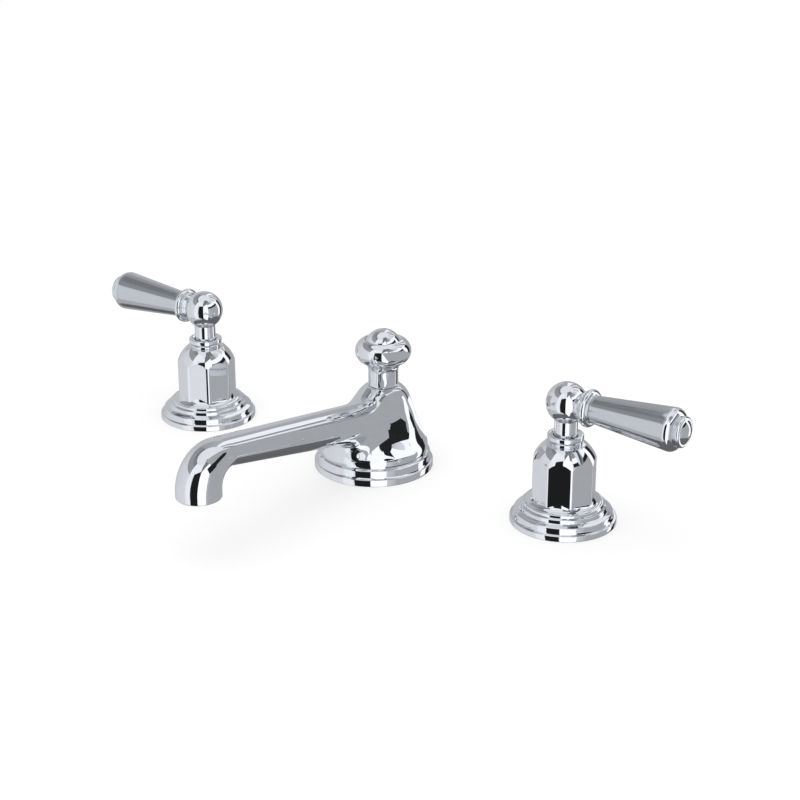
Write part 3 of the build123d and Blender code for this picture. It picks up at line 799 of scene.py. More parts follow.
class Spline:
    """Natural cubic spline through given values."""

    def __init__(self, knots: Sequence[float], values: Sequence[float]) -> None:
        """Solve for the second derivatives at the knots.

        Args:
            knots: Where the values lie, in rising order.
            values: Value at each knot.
        """
        self.x, self.y = np.array(knots, float), np.array(values, float)
        h, count = np.diff(self.x), len(knots)
        system, right = np.eye(count), np.zeros(count)
        rise = np.diff(self.y) / h
        for i in range(1, count - 1):
            system[i, i - 1 : i + 2] = h[i - 1], 2 * (h[i - 1] + h[i]), h[i]
            right[i] = 6 * (rise[i] - rise[i - 1])
        self.bend = np.linalg.solve(system, right)

    def __call__(self, x: np.ndarray) -> np.ndarray:
        """Give the value at each x, held at the ends.

        Args:
            x: Where to read the spline.

        Returns:
            Value at each x.
        """
        x = np.clip(x, self.x[0], self.x[-1])
        i = np.clip(np.searchsorted(self.x, x) - 1, 0, len(self.x) - 2)
        h = self.x[i + 1] - self.x[i]
        a, b = (self.x[i + 1] - x) / h, (x - self.x[i]) / h
        bow = (a**3 - a) * self.bend[i] + (b**3 - b) * self.bend[i + 1]
        return a * self.y[i] + b * self.y[i + 1] + bow * h * h / 6


@dataclass(frozen=True)
class Rim:
    """Rings that carry on from an open round edge: their centre, radius and height of each.

    A radius of None keeps the edge's own one. The last ring is closed with a face.
    """

    centre: Point
    steps: tuple[tuple[float | None, float], ...]


def cut_rim(
    work: bmesh.types.BMesh,
    point: Place,
    outwards: Place,
    rim: Rim | None,
    cut: bool = True,
    near: Point | None = None,
    near_r: float = 15.0,
) -> None:
    """Cut a mesh flat and carry its open edge on with rings.

    Args:
        work: Mesh under construction, in millimetres.
        point: Point on the cutting plane.
        outwards: Direction in which the mesh is cut away.
        rim: Rings to add, or None to leave the edge open.
        cut: Whether to cut, or only to use the open edge on the plane.
        near: Cut only round this place in X and Y.
        near_r: How far from that place.
    """

    def close(vert: bmesh.types.BMVert) -> bool:
        """Tell whether a vertex belongs to the place that is cut."""
        return near is None or hypot(vert.co.x - near[0], vert.co.y - near[1]) < near_r

    if cut:
        verts = [v for v in work.verts if close(v)]
        chosen = set(verts)
        edges = [e for e in work.edges if all(v in chosen for v in e.verts)]
        faces = [f for f in work.faces if all(v in chosen for v in f.verts)]
        bmesh.ops.bisect_plane(
            work, geom=verts + edges + faces, plane_co=point, plane_no=outwards, clear_outer=True
        )
    if rim is None:
        return
    open_edges = [
        e
        for e in work.edges
        if e.is_boundary and all(abs(v.co.z - point[2]) < 100 * SAME and close(v) for v in e.verts)
    ]
    centre = Vector((*rim.centre, 0.0))
    for radius, height in rim.steps:
        made = bmesh.ops.extrude_edge_only(work, edges=open_edges)["geom"]
        open_edges = [g for g in made if isinstance(g, bmesh.types.BMEdge) and g.is_boundary]
        for vert in {v for e in open_edges for v in e.verts}:
            away = Vector((vert.co.x - centre.x, vert.co.y - centre.y, 0.0))
            size = away.length if radius is None else radius
            place = centre + away.normalized() * size
            vert.co = (place.x, place.y, height)
    bmesh.ops.holes_fill(work, edges=open_edges, sides=0)


@dataclass
class SpoutBody:
    """Spout casting: a bell that leans back and an oval tube that grows out of it."""

    foot_z: float = 7.4
    foot_r: float = 24.4
    foot_trim: float = 0.25
    foot_lip: float = 0.3
    top_z: float = 36.6
    top_r: float = 10.5
    lean: float = 7.5
    crown_z: float = 37.07
    crown_round: float = 6.4
    bell_shares: tuple[Place, ...] = (
        (0.0, 0.0, 1.0),
        (0.096, 0.03, 1.007),
        (0.199, 0.16, 0.876),
        (0.336, 0.36, 0.604),
        (0.520, 0.61, 0.324),
        (0.705, 0.853, 0.115),
        (0.850, 0.973, 0.034),
        (1.0, 1.0, 0.0),
    )
    root: Point = (2.0, 21.57)
    root_back: float = 8.0
    root_half: Point = (10.98, 8.97)
    end_half: Point = (9.5, 6.0)
    corner: Point = (-117.4, 44.1)
    bend_r: float = 12.5
    mouth_z: float = 26.3
    mouth_half: Point = (9.6, 9.59)
    mouth_trim: float = 0.8
    mouth_bore_r: float = 8.42
    lip_round: float = 0.45
    bore_round: float = 0.25
    bore_depths: Point = (3.0, 6.6)
    blend: float = 15.0
    guide_r: float = 5.6
    guide_ease: float = 0.25
    guide_bottom_z: float = 30.0
    spigot_r: float = 20.8
    spigot_z: float = 1.8
    cell: float = 0.85
    margin: float = 4.0
    half_width: float = 26.0
    front_and_back: Point = (-131.0, 29.0)
    highest_z: float = 57.0
    smoothing_rounds: int = 12

    def __post_init__(self) -> None:
        """Work out the splines of the bell and the frame of the tube's centre-line."""
        height = self.crown_z - self.foot_z
        knots = [self.foot_z + height * s[0] for s in self.bell_shares]
        self.bell_y = Spline(knots, [self.lean * s[1] for s in self.bell_shares])
        step = self.foot_r - self.top_r
        self.bell_r = Spline(knots, [self.top_r + step * s[2] for s in self.bell_shares])
        run = np.array(self.corner) - np.array(self.root)
        self.run_length = float(np.linalg.norm(run))
        self.run_dir = run / self.run_length
        self.run_up = np.array([self.run_dir[1], -self.run_dir[0]])
        self.turn = pi - acos(float(self.run_dir @ np.array([0.0, 1.0])))
        reach = self.bend_r * tan(self.turn / 2)
        self.straight = self.run_length - reach
        self.bend_centre = np.array([self.corner[0] + self.bend_r, self.corner[1] - reach])

    def bell_field(self, p: np.ndarray) -> np.ndarray:
        """Signed distance, nearly, to the bell.

        Args:
            p: Places in millimetres, one row each.

        Returns:
            One value for each place, negative inside.
        """
        z, probe = p[:, 2], 0.05
        wall = np.hypot(p[:, 0], p[:, 1] - self.bell_y(z)) - self.bell_r(z)
        slope = (self.bell_r(z + probe) - self.bell_r(z - probe)) / (2 * probe)
        wall = wall / np.sqrt(1 + slope**2)
        lid, r = z - self.crown_z, self.crown_round
        u, v = np.maximum(r + wall, 0), np.maximum(r + lid, 0)
        return np.minimum(-r, np.maximum(wall, lid)) + np.sqrt(u**2 + v**2)

    def tube_field(self, p: np.ndarray) -> np.ndarray:
        """Signed distance, nearly, to the tube.

        Args:
            p: Places in millimetres, one row each.

        Returns:
            One value for each place, negative inside.
        """
        tiny, lowest_share = 1e-9, -0.3
        plane = p[:, 1:]
        away = plane - np.array(self.root)
        s, q = away @ self.run_dir, away @ self.run_up
        share = np.clip(s / self.straight, lowest_share, 1.0)
        w = plane - self.bend_centre
        start = atan2(self.run_up[1], self.run_up[0])
        angle = (np.arctan2(w[:, 1], w[:, 0]) - start) % (2 * pi)
        angle = np.where(angle > 1.5 * pi, angle - 2 * pi, angle)
        bend = np.clip(angle / self.turn, 0.0, 1.0)
        eased = bend * bend * (3 - 2 * bend)
        past = s > self.straight
        half_w, half_h = (
            np.where(past, end + (mouth - end) * eased, root + (end - root) * share)
            for root, end, mouth in zip(self.root_half, self.end_half, self.mouth_half)
        )
        around = np.hypot(w[:, 0], w[:, 1]) - self.bend_r
        below = plane[:, 1] < self.bend_centre[1]
        drop = self.corner[0] - plane[:, 0]
        q = np.where(past, np.where(below, drop, around), q)
        x = p[:, 0]
        level = np.sqrt((x / half_w) ** 2 + (q / half_h) ** 2) + tiny
        slope = np.sqrt((x / half_w**2) ** 2 + (q / half_h**2) ** 2) / level + tiny
        body = (level - 1) / slope
        return np.where(s < -self.root_back, np.maximum(body, -self.root_back - s), body)

    def field(self, p: np.ndarray) -> np.ndarray:
        """Field that is zero on the casting's skin: bell and tube with a broad soft blend.

        Args:
            p: Places in millimetres, one row each.

        Returns:
            One value for each place, negative inside.
        """
        a, b = self.bell_field(p), self.tube_field(p)
        h = np.maximum(self.blend - np.abs(a - b), 0.0) / self.blend
        return np.minimum(a, b) - h**3 * self.blend / 6

    def settle(self, p: np.ndarray, rounds: int) -> np.ndarray:
        """Move places onto the skin along the field's slope.

        Args:
            p: Places in millimetres, one row each.
            rounds: How often to move them.

        Returns:
            The moved places.
        """
        probe, longest = 0.02, 0.5
        for _ in range(rounds):
            value = self.field(p)
            slope = np.stack(
                [
                    (self.field(p + probe * axis) - self.field(p - probe * axis)) / (2 * probe)
                    for axis in np.eye(3)
                ],
                axis=1,
            )
            size = (slope**2).sum(1)[:, None]
            p = p - np.clip(value, -longest, longest)[:, None] * slope / size
        return p

    def skin(self) -> tuple[np.ndarray, np.ndarray]:
        """Mesh the skin with quads.

        Returns:
            Places in millimetres and the four vertex numbers of each quad.
        """
        side, (front, back) = self.half_width + self.cell, self.front_and_back
        low = np.array([-side, front, self.foot_z - self.margin])
        high = np.array([side, back, self.highest_z])
        sizes = np.ceil((high - low) / self.cell).astype(int) + 1
        axes = [low[k] + self.cell * np.arange(sizes[k]) for k in range(3)]
        grid = np.stack(np.meshgrid(*axes, indexing="ij"), axis=-1).reshape(-1, 3)
        inside = (self.field(grid) < 0).reshape(sizes)
        corners = [
            inside[i : sizes[0] - 1 + i, j : sizes[1] - 1 + j, k : sizes[2] - 1 + k]
            for i, j, k in product((0, 1), repeat=3)
        ]
        total = sum(c.astype(int) for c in corners)
        mixed = (total > 0) & (total < len(corners))
        number = np.full(mixed.shape, -1)
        number[mixed] = np.arange(mixed.sum())
        places = low + self.cell * (np.argwhere(mixed) + 0.5)
        quads = []
        for axis in range(3):
            first = np.moveaxis(inside, axis, 0)
            cells = np.moveaxis(number, axis, 0)
            cross = first[:-1, 1:-1, 1:-1] != first[1:, 1:-1, 1:-1]
            ring = [cells[:, :-1, :-1], cells[:, 1:, :-1], cells[:, 1:, 1:], cells[:, :-1, 1:]]
            quads.append(np.stack([r[cross] for r in ring], axis=1))
        faces = np.concatenate(quads)
        faces = faces[(faces >= 0).all(1)]
        edges = np.concatenate([faces[:, [i, (i + 1) % 4]] for i in range(4)])
        edges = np.unique(np.sort(edges, 1), axis=0)
        places = self.settle(places, 3)
        for _ in range(self.smoothing_rounds):
            total_place, total_count = np.zeros_like(places), np.zeros(len(places))
            for a, b in ((0, 1), (1, 0)):
                np.add.at(total_place, edges[:, a], places[edges[:, b]])
                np.add.at(total_count, edges[:, a], 1)
            places = 0.5 * places + 0.5 * total_place / total_count[:, None]
            places = self.settle(places, 1)
        return self.settle(places, 3), faces

    def mouth_steps(self) -> tuple[Point, ...]:
        """Give the rings of the mouth's rounded lip and of the start of its bore.

        Returns:
            Radius and height of each ring.
        """
        outer_r, bore_r, z = self.mouth_half[0], self.mouth_bore_r, self.mouth_z
        outer = [
            (outer_r - self.lip_round * (1 - cos(a)), z + self.lip_round * (1 - sin(a)))
            for a in (radians(15 * i) for i in range(7))
        ]
        inner = [
            (bore_r + self.bore_round * (1 - sin(a)), z + self.bore_round * (1 - cos(a)))
            for a in (radians(22.5 * i) for i in range(5))
        ]
        return (*outer, *inner, *((bore_r, z + depth) for depth in self.bore_depths))

    def build(self) -> Piece:
        """Make the casting's skin with its rims at the foot, the mouth and the rod's hole.

        Returns:
            The dressed piece.
        """
        places, faces = self.skin()
        work = bmesh.new()
        verts = [work.verts.new(p) for p in places]
        for face in faces:
            try:
                work.faces.new([verts[i] for i in face])
            except ValueError:
                continue
        bmesh.ops.recalc_face_normals(work, faces=work.faces)
        down, cut_z, lip_z = (0, 0, -1), self.foot_z + self.foot_trim, self.foot_z - self.foot_lip
        cut_rim(work, (0, 0, cut_z), down, None)
        foot = (
            (None, lip_z),
            (self.spigot_r, lip_z),
            (self.spigot_r, self.spigot_z),
            (self.guide_r, self.spigot_z),
        )
        cut_rim(work, (0, 0, cut_z), down, Rim((0.0, 0.0), foot), cut=False)
        crown, ease = (0.0, self.lean), self.guide_ease
        top = (
            (self.guide_r + ease, self.top_z),
            (self.guide_r, self.top_z - ease),
            (self.guide_r, self.guide_bottom_z),
        )
        cut_rim(work, (0, 0, self.top_z), (0, 0, 1), Rim(crown, top), near=crown)
        mouth = (0.0, self.corner[0])
        lip = Rim(mouth, self.mouth_steps())
        cut_rim(work, (0, 0, self.mouth_z + self.mouth_trim), down, lip, near=mouth)
        bmesh.ops.recalc_face_normals(work, faces=work.faces)
        bmesh.ops.scale(work, vec=(MM,) * 3, verts=work.verts)
        piece = link_bmesh("spout_casting", work)
        return dress(piece, Slot.POLISHED_CHROME, Body.FIXED, "spout_body")


@dataclass
class SpoutTrim:
    """Turned pieces of the spout: two-step base ring, aerator shell, lift knob and rod."""

    base_r: float = 27.1
    base_band_z: float = 3.25
    base_step_r: float = 25.8
    base_step_z: float = 3.9
    base_step_top_z: float = 6.8
    base_top_r: float = 24.85
    base_top_z: float = 7.4
    base_bore_r: float = 21.0
    cove: float = 0.45
    lean: float = 7.5
    knob_bottom_z: float = 36.75
    neck_r: float = 6.85
    cove_r: float = 4.5
    ring_z: float = 53.0
    ring_r: float = 12.75
    ring_round: float = 5.75
    crest_r: float = 8.4
    groove_r: float = 7.9
    dome_r: float = 8.5
    knob_top_z: float = 63.1
    rod_r: float = 2.38
    rod_bottom_z: float = -166.0
    rod_top_z: float = 46.0
    reach: float = 117.4
    aerator_r: float = 8.33
    aerator_wall: float = 1.1
    aerator_lip_r: float = 6.5
    aerator_lip_h: float = 0.8
    aerator_bottom_z: float = 26.6
    aerator_h: float = 5.5

    def base_ring(self) -> Piece:
        """Make the stepped ring under the bell.

        Returns:
            The dressed piece.
        """
        outline = Outline(self.base_bore_r, 0.0).lines(
            (self.base_r, 0.0),
            (self.base_r, self.base_band_z, 0.25),
            (self.base_step_r + self.cove, self.base_band_z, 0.45),
            (self.base_step_r, self.base_step_z, 0.2),
            (self.base_step_r, self.base_step_top_z, 0.2),
            (self.base_top_r, self.base_top_z, 0.45),
            (self.base_bore_r, self.base_top_z, 0.2),
            (self.base_bore_r, 0.0),
        )
        piece = turn("spout_base_trim", outline, TurningAxis((0, 0, 0)), segments=224)
        return dress(piece, Slot.POLISHED_CHROME, Body.FIXED, "spout_base_ring")

    def knob(self) -> Piece:
        """Make the lift knob: neck, cove, round ring, groove and dome.

        Returns:
            The dressed piece.
        """
        ring_centre = self.ring_r - self.ring_round
        cove_centre = self.neck_r + self.cove_r
        reach = self.ring_round + self.cove_r
        drop = sqrt(reach**2 - (cove_centre - ring_centre) ** 2)
        share = self.ring_round / reach
        touch = (ring_centre + (cove_centre - ring_centre) * share, self.ring_z - drop * share)
        cove_z = self.ring_z - drop
        lean = atan2(touch[1] - cove_z, touch[0] - cove_centre)
        at = (pi + (lean % (2 * pi))) / 2
        cove_middle = (cove_centre + self.cove_r * cos(at), cove_z + self.cove_r * sin(at))
        crest_rise = sqrt(self.ring_round**2 - (self.crest_r - ring_centre) ** 2)
        dome_z = self.knob_top_z - self.dome_r
        groove_z = dome_z + sqrt(self.dome_r**2 - self.groove_r**2)
        at = (atan2(groove_z - dome_z, self.groove_r) + pi / 2) / 2
        dome_middle = (self.dome_r * cos(at), dome_z + self.dome_r * sin(at))
        outline = Outline(0.0, self.knob_bottom_z)
        outline.lines((self.neck_r, self.knob_bottom_z), (self.neck_r, cove_z, 0.2))
        outline.arc(cove_middle, touch)
        outline.arc((self.ring_r, self.ring_z), (self.crest_r, self.ring_z + crest_rise))
        outline.line(self.groove_r, groove_z, 0.15)
        outline.arc(dome_middle, (0.0, self.knob_top_z), 0.12)
        piece = turn("lift_knob_turning", outline, TurningAxis((0, self.lean, 0)), False, 192)
        return dress(piece, Slot.POLISHED_CHROME, Body.LIFT, "lift_knob")

    def rod(self) -> Piece:
        """Make the lift rod.

        Returns:
            The dressed piece.
        """
        outline = Outline(0.0, self.rod_bottom_z).line(self.rod_r, self.rod_bottom_z)
        outline.lines((self.rod_r, self.rod_top_z, 0.5), (0.0, self.rod_top_z, 0.3))
        piece = turn("lift_rod_turning", outline, TurningAxis((0, self.lean, 0)), False, 48)
        return dress(piece, Slot.POLISHED_CHROME, Body.LIFT, "lift_rod")

    def aerator(self) -> Piece:
        """Make the aerator's shell with its inner lip.

        Returns:
            The dressed piece.
        """
        bottom, top = self.aerator_bottom_z, self.aerator_bottom_z + self.aerator_h
        inner_r, lip_z = self.aerator_r - self.aerator_wall, bottom + self.aerator_lip_h
        outline = Outline(self.aerator_lip_r, bottom).lines(
            (self.aerator_r, bottom, 0.25),
            (self.aerator_r, top, 0.3),
            (inner_r, top),
            (inner_r, lip_z),
            (self.aerator_lip_r, lip_z),
            (self.aerator_lip_r, bottom, 0.2),
        )
        axis = TurningAxis((0, -self.reach, 0))
        piece = turn("aerator_shell_turning", outline, axis, segments=96)
        return dress(piece, Slot.POLISHED_CHROME, Body.FIXED, "aerator_shell")

    def build(self) -> None:
        """Make all turned pieces of the spout."""
        for make in (self.base_ring, self.knob, self.rod, self.aerator):
            make()


def start_tree(name: str, sizes: Sequence[str]) -> tuple[Tree, dict[str, Socket]]:
    """Start a Geometry Nodes tree.

    Args:
        name: Name of the tree.
        sizes: Names of its inputs.

    Returns:
        The tree, and the socket of each input by its name.
    """
    tree = bpy.data.node_groups.new(name, "GeometryNodeTree")
    tree.interface.new_socket("Geometry", in_out="OUTPUT", socket_type="NodeSocketGeometry")
    for size in sizes:
        tree.interface.new_socket(size, in_out="INPUT", socket_type="NodeSocketFloat")
    source = add_node(tree, "NodeGroupInput")
    return tree, {size: source.outputs[size] for size in sizes}


def end_tree(tree: Tree, geometry: Socket, slot: Slot) -> None:
    """End a Geometry Nodes tree with plain geometry in its finish.

    Args:
        tree: Tree to end.
        geometry: Result of the tree's other nodes.
        slot: Record slot of the finish.
    """
    real = add_node(tree, "GeometryNodeRealizeInstances", {}, {0: geometry})
    settings = {"Material": FINISHES[slot].material()}
    finish = add_node(tree, "GeometryNodeSetMaterial", settings, {0: real.outputs[0]})
    add_node(tree, "NodeGroupOutput", {}, {0: finish.outputs[0]})


def from_tree(name: str, tree: Tree, sizes: dict[str, float]) -> Piece:
    """Run a Geometry Nodes tree and keep its result as a plain mesh object.

    Args:
        name: Name of the piece.
        tree: Geometry Nodes tree with named inputs.
        sizes: Value of each named input.

    Returns:
        Object with the result as its own mesh and no modifier.
    """
    holder = link(f"{name}_holder", bpy.data.meshes.new(f"{name}_holder"))
    modifier = holder.modifiers.new("rule", "NODES")
    modifier.node_group = tree
    ids = {i.name: i.identifier for i in tree.interface.items_tree if i.in_out == "INPUT"}
    for key, value in sizes.items():
        modifier[ids[key]] = value
    evaluated = holder.evaluated_get(bpy.context.evaluated_depsgraph_get())
    mesh = bpy.data.meshes.new_from_object(evaluated)
    mesh.name = name
    holder.modifiers.remove(modifier)
    bpy.data.objects.remove(holder)
    return link(name, mesh)


Step = tuple[str, str, str | float, str | float]


def eased(name: str, value: str, floor: str) -> list[Step]:
    """Give steps for w * (3 - w * w), where w runs from -1 to 1 as a value leaves its floor.

    Args:
        name: Name of the result.
        value: Value to ease.
        floor: The value rounded down.

    Returns:
        Steps of a rule.
    """
    return [
        (f"{name}_part", "SUBTRACT", value, floor),
        (f"{name}_double", "MULTIPLY", f"{name}_part", 2.0),
        (f"{name}_w", "SUBTRACT", f"{name}_double", 1.0),
        (f"{name}_square", "MULTIPLY", f"{name}_w", f"{name}_w"),
        (f"{name}_rest", "SUBTRACT", 3.0, f"{name}_square"),
        (name, "MULTIPLY", f"{name}_w", f"{name}_rest"),
    ]


def other_side(name: str, longest: str, end: str, start: str | float) -> list[Step]:
    """Give steps for a side of a right-angled triangle.

    Args:
        name: Name of the result.
        longest: Longest side.
        end: End of the second side.
        start: Start of the second side.

    Returns:
        Steps of a rule; where there is no such triangle, the result is 0.
    """
    return [
        (f"{name}_gap", "SUBTRACT", end, start),
        (f"{name}_gap_square", "MULTIPLY", f"{name}_gap", f"{name}_gap"),
        (f"{name}_square", "MULTIPLY", longest, longest),
        (f"{name}_rest", "SUBTRACT", f"{name}_square", f"{name}_gap_square"),
        (f"{name}_safe", "MAXIMUM", f"{name}_rest", 0.0),
        (name, "SQRT", f"{name}_safe", 0.0),
    ]


def moved(name: str, base: str, span: tuple[str, str], share: str) -> list[Step]:
    """Give steps for a base plus a share of a span.

    Args:
        name: Name of the result.
        base: Value to start from.
        span: Start and end of the span.
        share: Share of it that is added.

    Returns:
        Steps of a rule.
    """
    return [
        (f"{name}_span", "SUBTRACT", span[1], span[0]),
        (f"{name}_add", "MULTIPLY", f"{name}_span", share),
        (name, "ADD", base, f"{name}_add"),
    ]


@dataclass(frozen=True)
class Bonnet:
    """Octagonal housing: eight flats with soft arrises, a coved foot and a domed top."""

    sides: int = 8
    corner_r: float = 13.98
    arris: float = 2.0
    foot_r: float = 16.5
    foot_z: float = 9.4
    cove_top_z: float = 12.6
    cove_r: float = 3.65
    shoulder_z: float = 27.8
    dome_side: Point = (12.5, 31.3)
    top_r: float = 9.0
    top_z: float = 35.6
    bore_r: float = 5.6
    bore_ease: float = 0.2
    bore_bottom_z: float = 32.0
    barrel_bore_r: float = 12.8
    barrel_top_z: float = 11.4
    facet_steps: int = 20
    band_steps: int = 16
    weld_m: float = 2e-6

    def cove_centre(self) -> Point:
        """Give the centre of the cove, outside the wall.

        Returns:
            Its radius and height.
        """
        flat = self.corner_r * cos(pi / self.sides)
        a, b = Vector((self.foot_r, self.foot_z)), Vector((flat, self.cove_top_z))
        along = b - a
        reach = sqrt(self.cove_r**2 - (along.length / 2) ** 2)
        away = Vector((along.y, -along.x)).normalized()
        return tuple((a + b) / 2 + away * reach)

    def rule(self) -> list[Step]:
        """Give the rule of the skin as steps of name, operation and two operands.

        Returns:
            Steps that lead from the shares round and up the skin to its place in metres.
        """
        half = pi / self.sides
        return [
            ("spin", "MULTIPLY", "round", "sides"),
            ("facet", "FLOOR", "spin", 0.0),
            *eased("lean_raw", "spin", "facet"),
            ("lean", "MULTIPLY", "lean_raw", half / 2),
            ("lean_size", "ABSOLUTE", "lean", 0.0),
            ("facet_mid", "ADD", "facet", 0.5),
            ("facet_angle", "MULTIPLY", "facet_mid", 2 * half),
            ("angle", "ADD", "facet_angle", "lean"),
            ("flat_cos", "COSINE", "lean_size", 0.0),
            ("flat", "MULTIPLY", "corner_r", cos(half)),
            ("flat_r", "DIVIDE", "flat", "flat_cos"),
            ("inner_flat", "SUBTRACT", "flat", "arris"),
            ("arris_mid", "DIVIDE", "inner_flat", cos(half)),
            ("off", "SUBTRACT", half, "lean_size"),
            ("off_sin", "SINE", "off", 0.0),
            ("off_cos", "COSINE", "off", 0.0),
            ("reach", "MULTIPLY", "arris_mid", "off_sin"),
            *other_side("left", "arris", "reach", 0.0),
            ("arris_base", "MULTIPLY", "arris_mid", "off_cos"),
            ("arris_r", "ADD", "arris_base", "left"),
            ("half_edge", "MULTIPLY", "inner_flat", tan(half)),
            ("tangent_ratio", "DIVIDE", "half_edge", "flat"),
            ("tangent", "ARCTANGENT", "tangent_ratio", 0.0),
            ("on_arris", "GREATER_THAN", "lean_size", "tangent"),
            ("arris_part", "MULTIPLY", "arris_r", "on_arris"),
            ("on_flat", "SUBTRACT", 1.0, "on_arris"),
            ("flat_part", "MULTIPLY", "flat_r", "on_flat"),
            ("wall_r", "ADD", "arris_part", "flat_part"),
            *other_side("cove_drop", "cove_r", "cove_mid_r", "wall_r"),
            ("cove_edge_z", "SUBTRACT", "cove_mid_z", "cove_drop"),
            *other_side("dome_rise", "dome_r", "wall_r", "dome_mid_r"),
            ("dome_edge_z", "ADD", "dome_mid_z", "dome_rise"),
            ("band", "FLOOR", "up3", 0.0),
            *eased("share_raw", "up3", "band"),
            ("share_half", "MULTIPLY", "share_raw", 0.25),
            ("share", "ADD", "share_half", 0.5),
            ("past_cove", "GREATER_THAN", "band", 0.5),
            ("past_wall", "GREATER_THAN", "band", 1.5),
            *moved("z_1", "foot_z", ("foot_z", "cove_edge_z"), "share"),
            *moved("z_2", "cove_edge_z", ("cove_edge_z", "dome_edge_z"), "share"),
            *moved("z_3", "dome_edge_z", ("dome_edge_z", "top_z"), "share"),
            *moved("z_12", "z_1", ("z_1", "z_2"), "past_cove"),
            *moved("height", "z_12", ("z_2", "z_3"), "past_wall"),
            *other_side("cove_in", "cove_r", "height", "cove_mid_z"),
            ("cove_at", "SUBTRACT", "cove_mid_r", "cove_in"),
            *other_side("dome_out", "dome_r", "height", "dome_mid_z"),
            ("dome_at", "ADD", "dome_mid_r", "dome_out"),
            *moved("r_12", "cove_at", ("cove_at", "wall_r"), "past_cove"),
            *moved("radius", "r_12", ("wall_r", "dome_at"), "past_wall"),
            ("angle_cos", "COSINE", "angle", 0.0),
            ("angle_sin", "SINE", "angle", 0.0),
            ("out_x", "MULTIPLY", "radius", "angle_cos"),
            ("out_y", "MULTIPLY", "radius", "angle_sin"),
            ("mm_x", "ADD", "out_x", "axis_x"),
            ("x", "MULTIPLY", "mm_x", MM),
            ("y", "MULTIPLY", "out_y", MM),
            ("z", "MULTIPLY", "height", MM),
        ]

    def inputs(self, side: Side) -> dict[str, float]:
        """Give the named sizes that the tree reads, in millimetres.

        Args:
            side: Valve that the housing belongs to.

        Returns:
            Value of each input by its name.
        """
        (dome_r, dome_z), dome = circle_through(
            (self.corner_r, self.shoulder_z), self.dome_side, (self.top_r, self.top_z)
        )
        cove_r, cove_z = self.cove_centre()
        own = ("corner_r", "arris", "foot_z", "top_z", "cove_r")
        return {
            "axis_x": side.x,
            "sides": float(self.sides),
            **{name: getattr(self, name) for name in own},
            "cove_mid_r": cove_r,
            "cove_mid_z": cove_z,
            "dome_r": dome,
            "dome_mid_r": dome_r,
            "dome_mid_z": dome_z,
        }

    @cache
    def tree(self) -> Tree:
        """Build the tree that lays a grid over the housing's skin by its rule.

        Returns:
            The tree, the same one at each call.
        """
        tree, sizes = start_tree("octagonal_housing", list(self.inputs(Side.HOT)))
        settings = {
            "Size X": 1.0,
            "Size Y": 3.0,
            "Vertices X": self.sides * self.facet_steps + 1,
            "Vertices Y": 3 * self.band_steps + 1,
        }
        grid = add_node(tree, "GeometryNodeMeshGrid", settings)
        place = add_node(tree, "GeometryNodeInputPosition").outputs[0]
        parts = add_node(tree, "ShaderNodeSeparateXYZ", {}, {0: place}).outputs
        start = [
            ("round_raw", "ADD", "grid_x", 0.5),
            ("round", "MINIMUM", "round_raw", 1.0 - SAME),
            ("up_raw", "ADD", "grid_y", 1.5),
            ("up_low", "ADD", "up_raw", SAME),
            ("up3", "MINIMUM", "up_low", 3.0 - SAME),
        ]
        known: dict[str, Socket] = {**sizes, "grid_x": parts["X"], "grid_y": parts["Y"]}
        for name, operation, *pair in [*start, *self.rule()]:
            links = {i: known[o] if isinstance(o, str) else o for i, o in enumerate(pair)}
            math = add_node(tree, "ShaderNodeMath", {"operation": operation}, links)
            known[name] = math.outputs[0]
        links = {i: known[k] for i, k in enumerate("xyz")}
        whole = add_node(tree, "ShaderNodeCombineXYZ", {}, links)
        links = {"Geometry": grid.outputs["Mesh"], "Position": whole.outputs[0]}
        moved = add_node(tree, "GeometryNodeSetPosition", {}, links)
        links = {"Geometry": moved.outputs[0]}
        seam = add_node(tree, "GeometryNodeMergeByDistance", {"Distance": self.weld_m}, links)
        end_tree(tree, seam.outputs[0], Slot.POLISHED_CHROME)
        return tree

    def build(self, side: Side) -> Piece:
        """Make the housing: the skin by its tree, then its inner wall and lips.

        Args:
            side: Valve that it belongs to.

        Returns:
            The dressed piece.
        """
        piece = from_tree(f"{side.label}_bonnet_housing", self.tree(), self.inputs(side))
        work = bmesh.new()
        work.from_mesh(piece.data)
        bmesh.ops.scale(work, vec=(1 / MM,) * 3, verts=work.verts)
        lip = (
            (self.bore_r + self.bore_ease, self.top_z),
            (self.bore_r, self.top_z - self.bore_ease),
            (self.bore_r, self.bore_bottom_z),
        )
        foot = ((self.barrel_bore_r, self.foot_z), (self.barrel_bore_r, self.barrel_top_z))
        for z, upwards, steps in ((self.top_z, 1, lip), (self.foot_z, -1, foot)):
            cut_rim(work, (0, 0, z), (0, 0, upwards), Rim((side.x, 0.0), steps), cut=False)
        bmesh.ops.recalc_face_normals(work, faces=work.faces)
        bmesh.ops.scale(work, vec=(MM,) * 3, verts=work.verts)
        work.to_mesh(piece.data)
        work.free()
        piece.data.shade_smooth()
        return dress(piece, Slot.POLISHED_CHROME, Body.FIXED, f"{side.label}_bonnet")


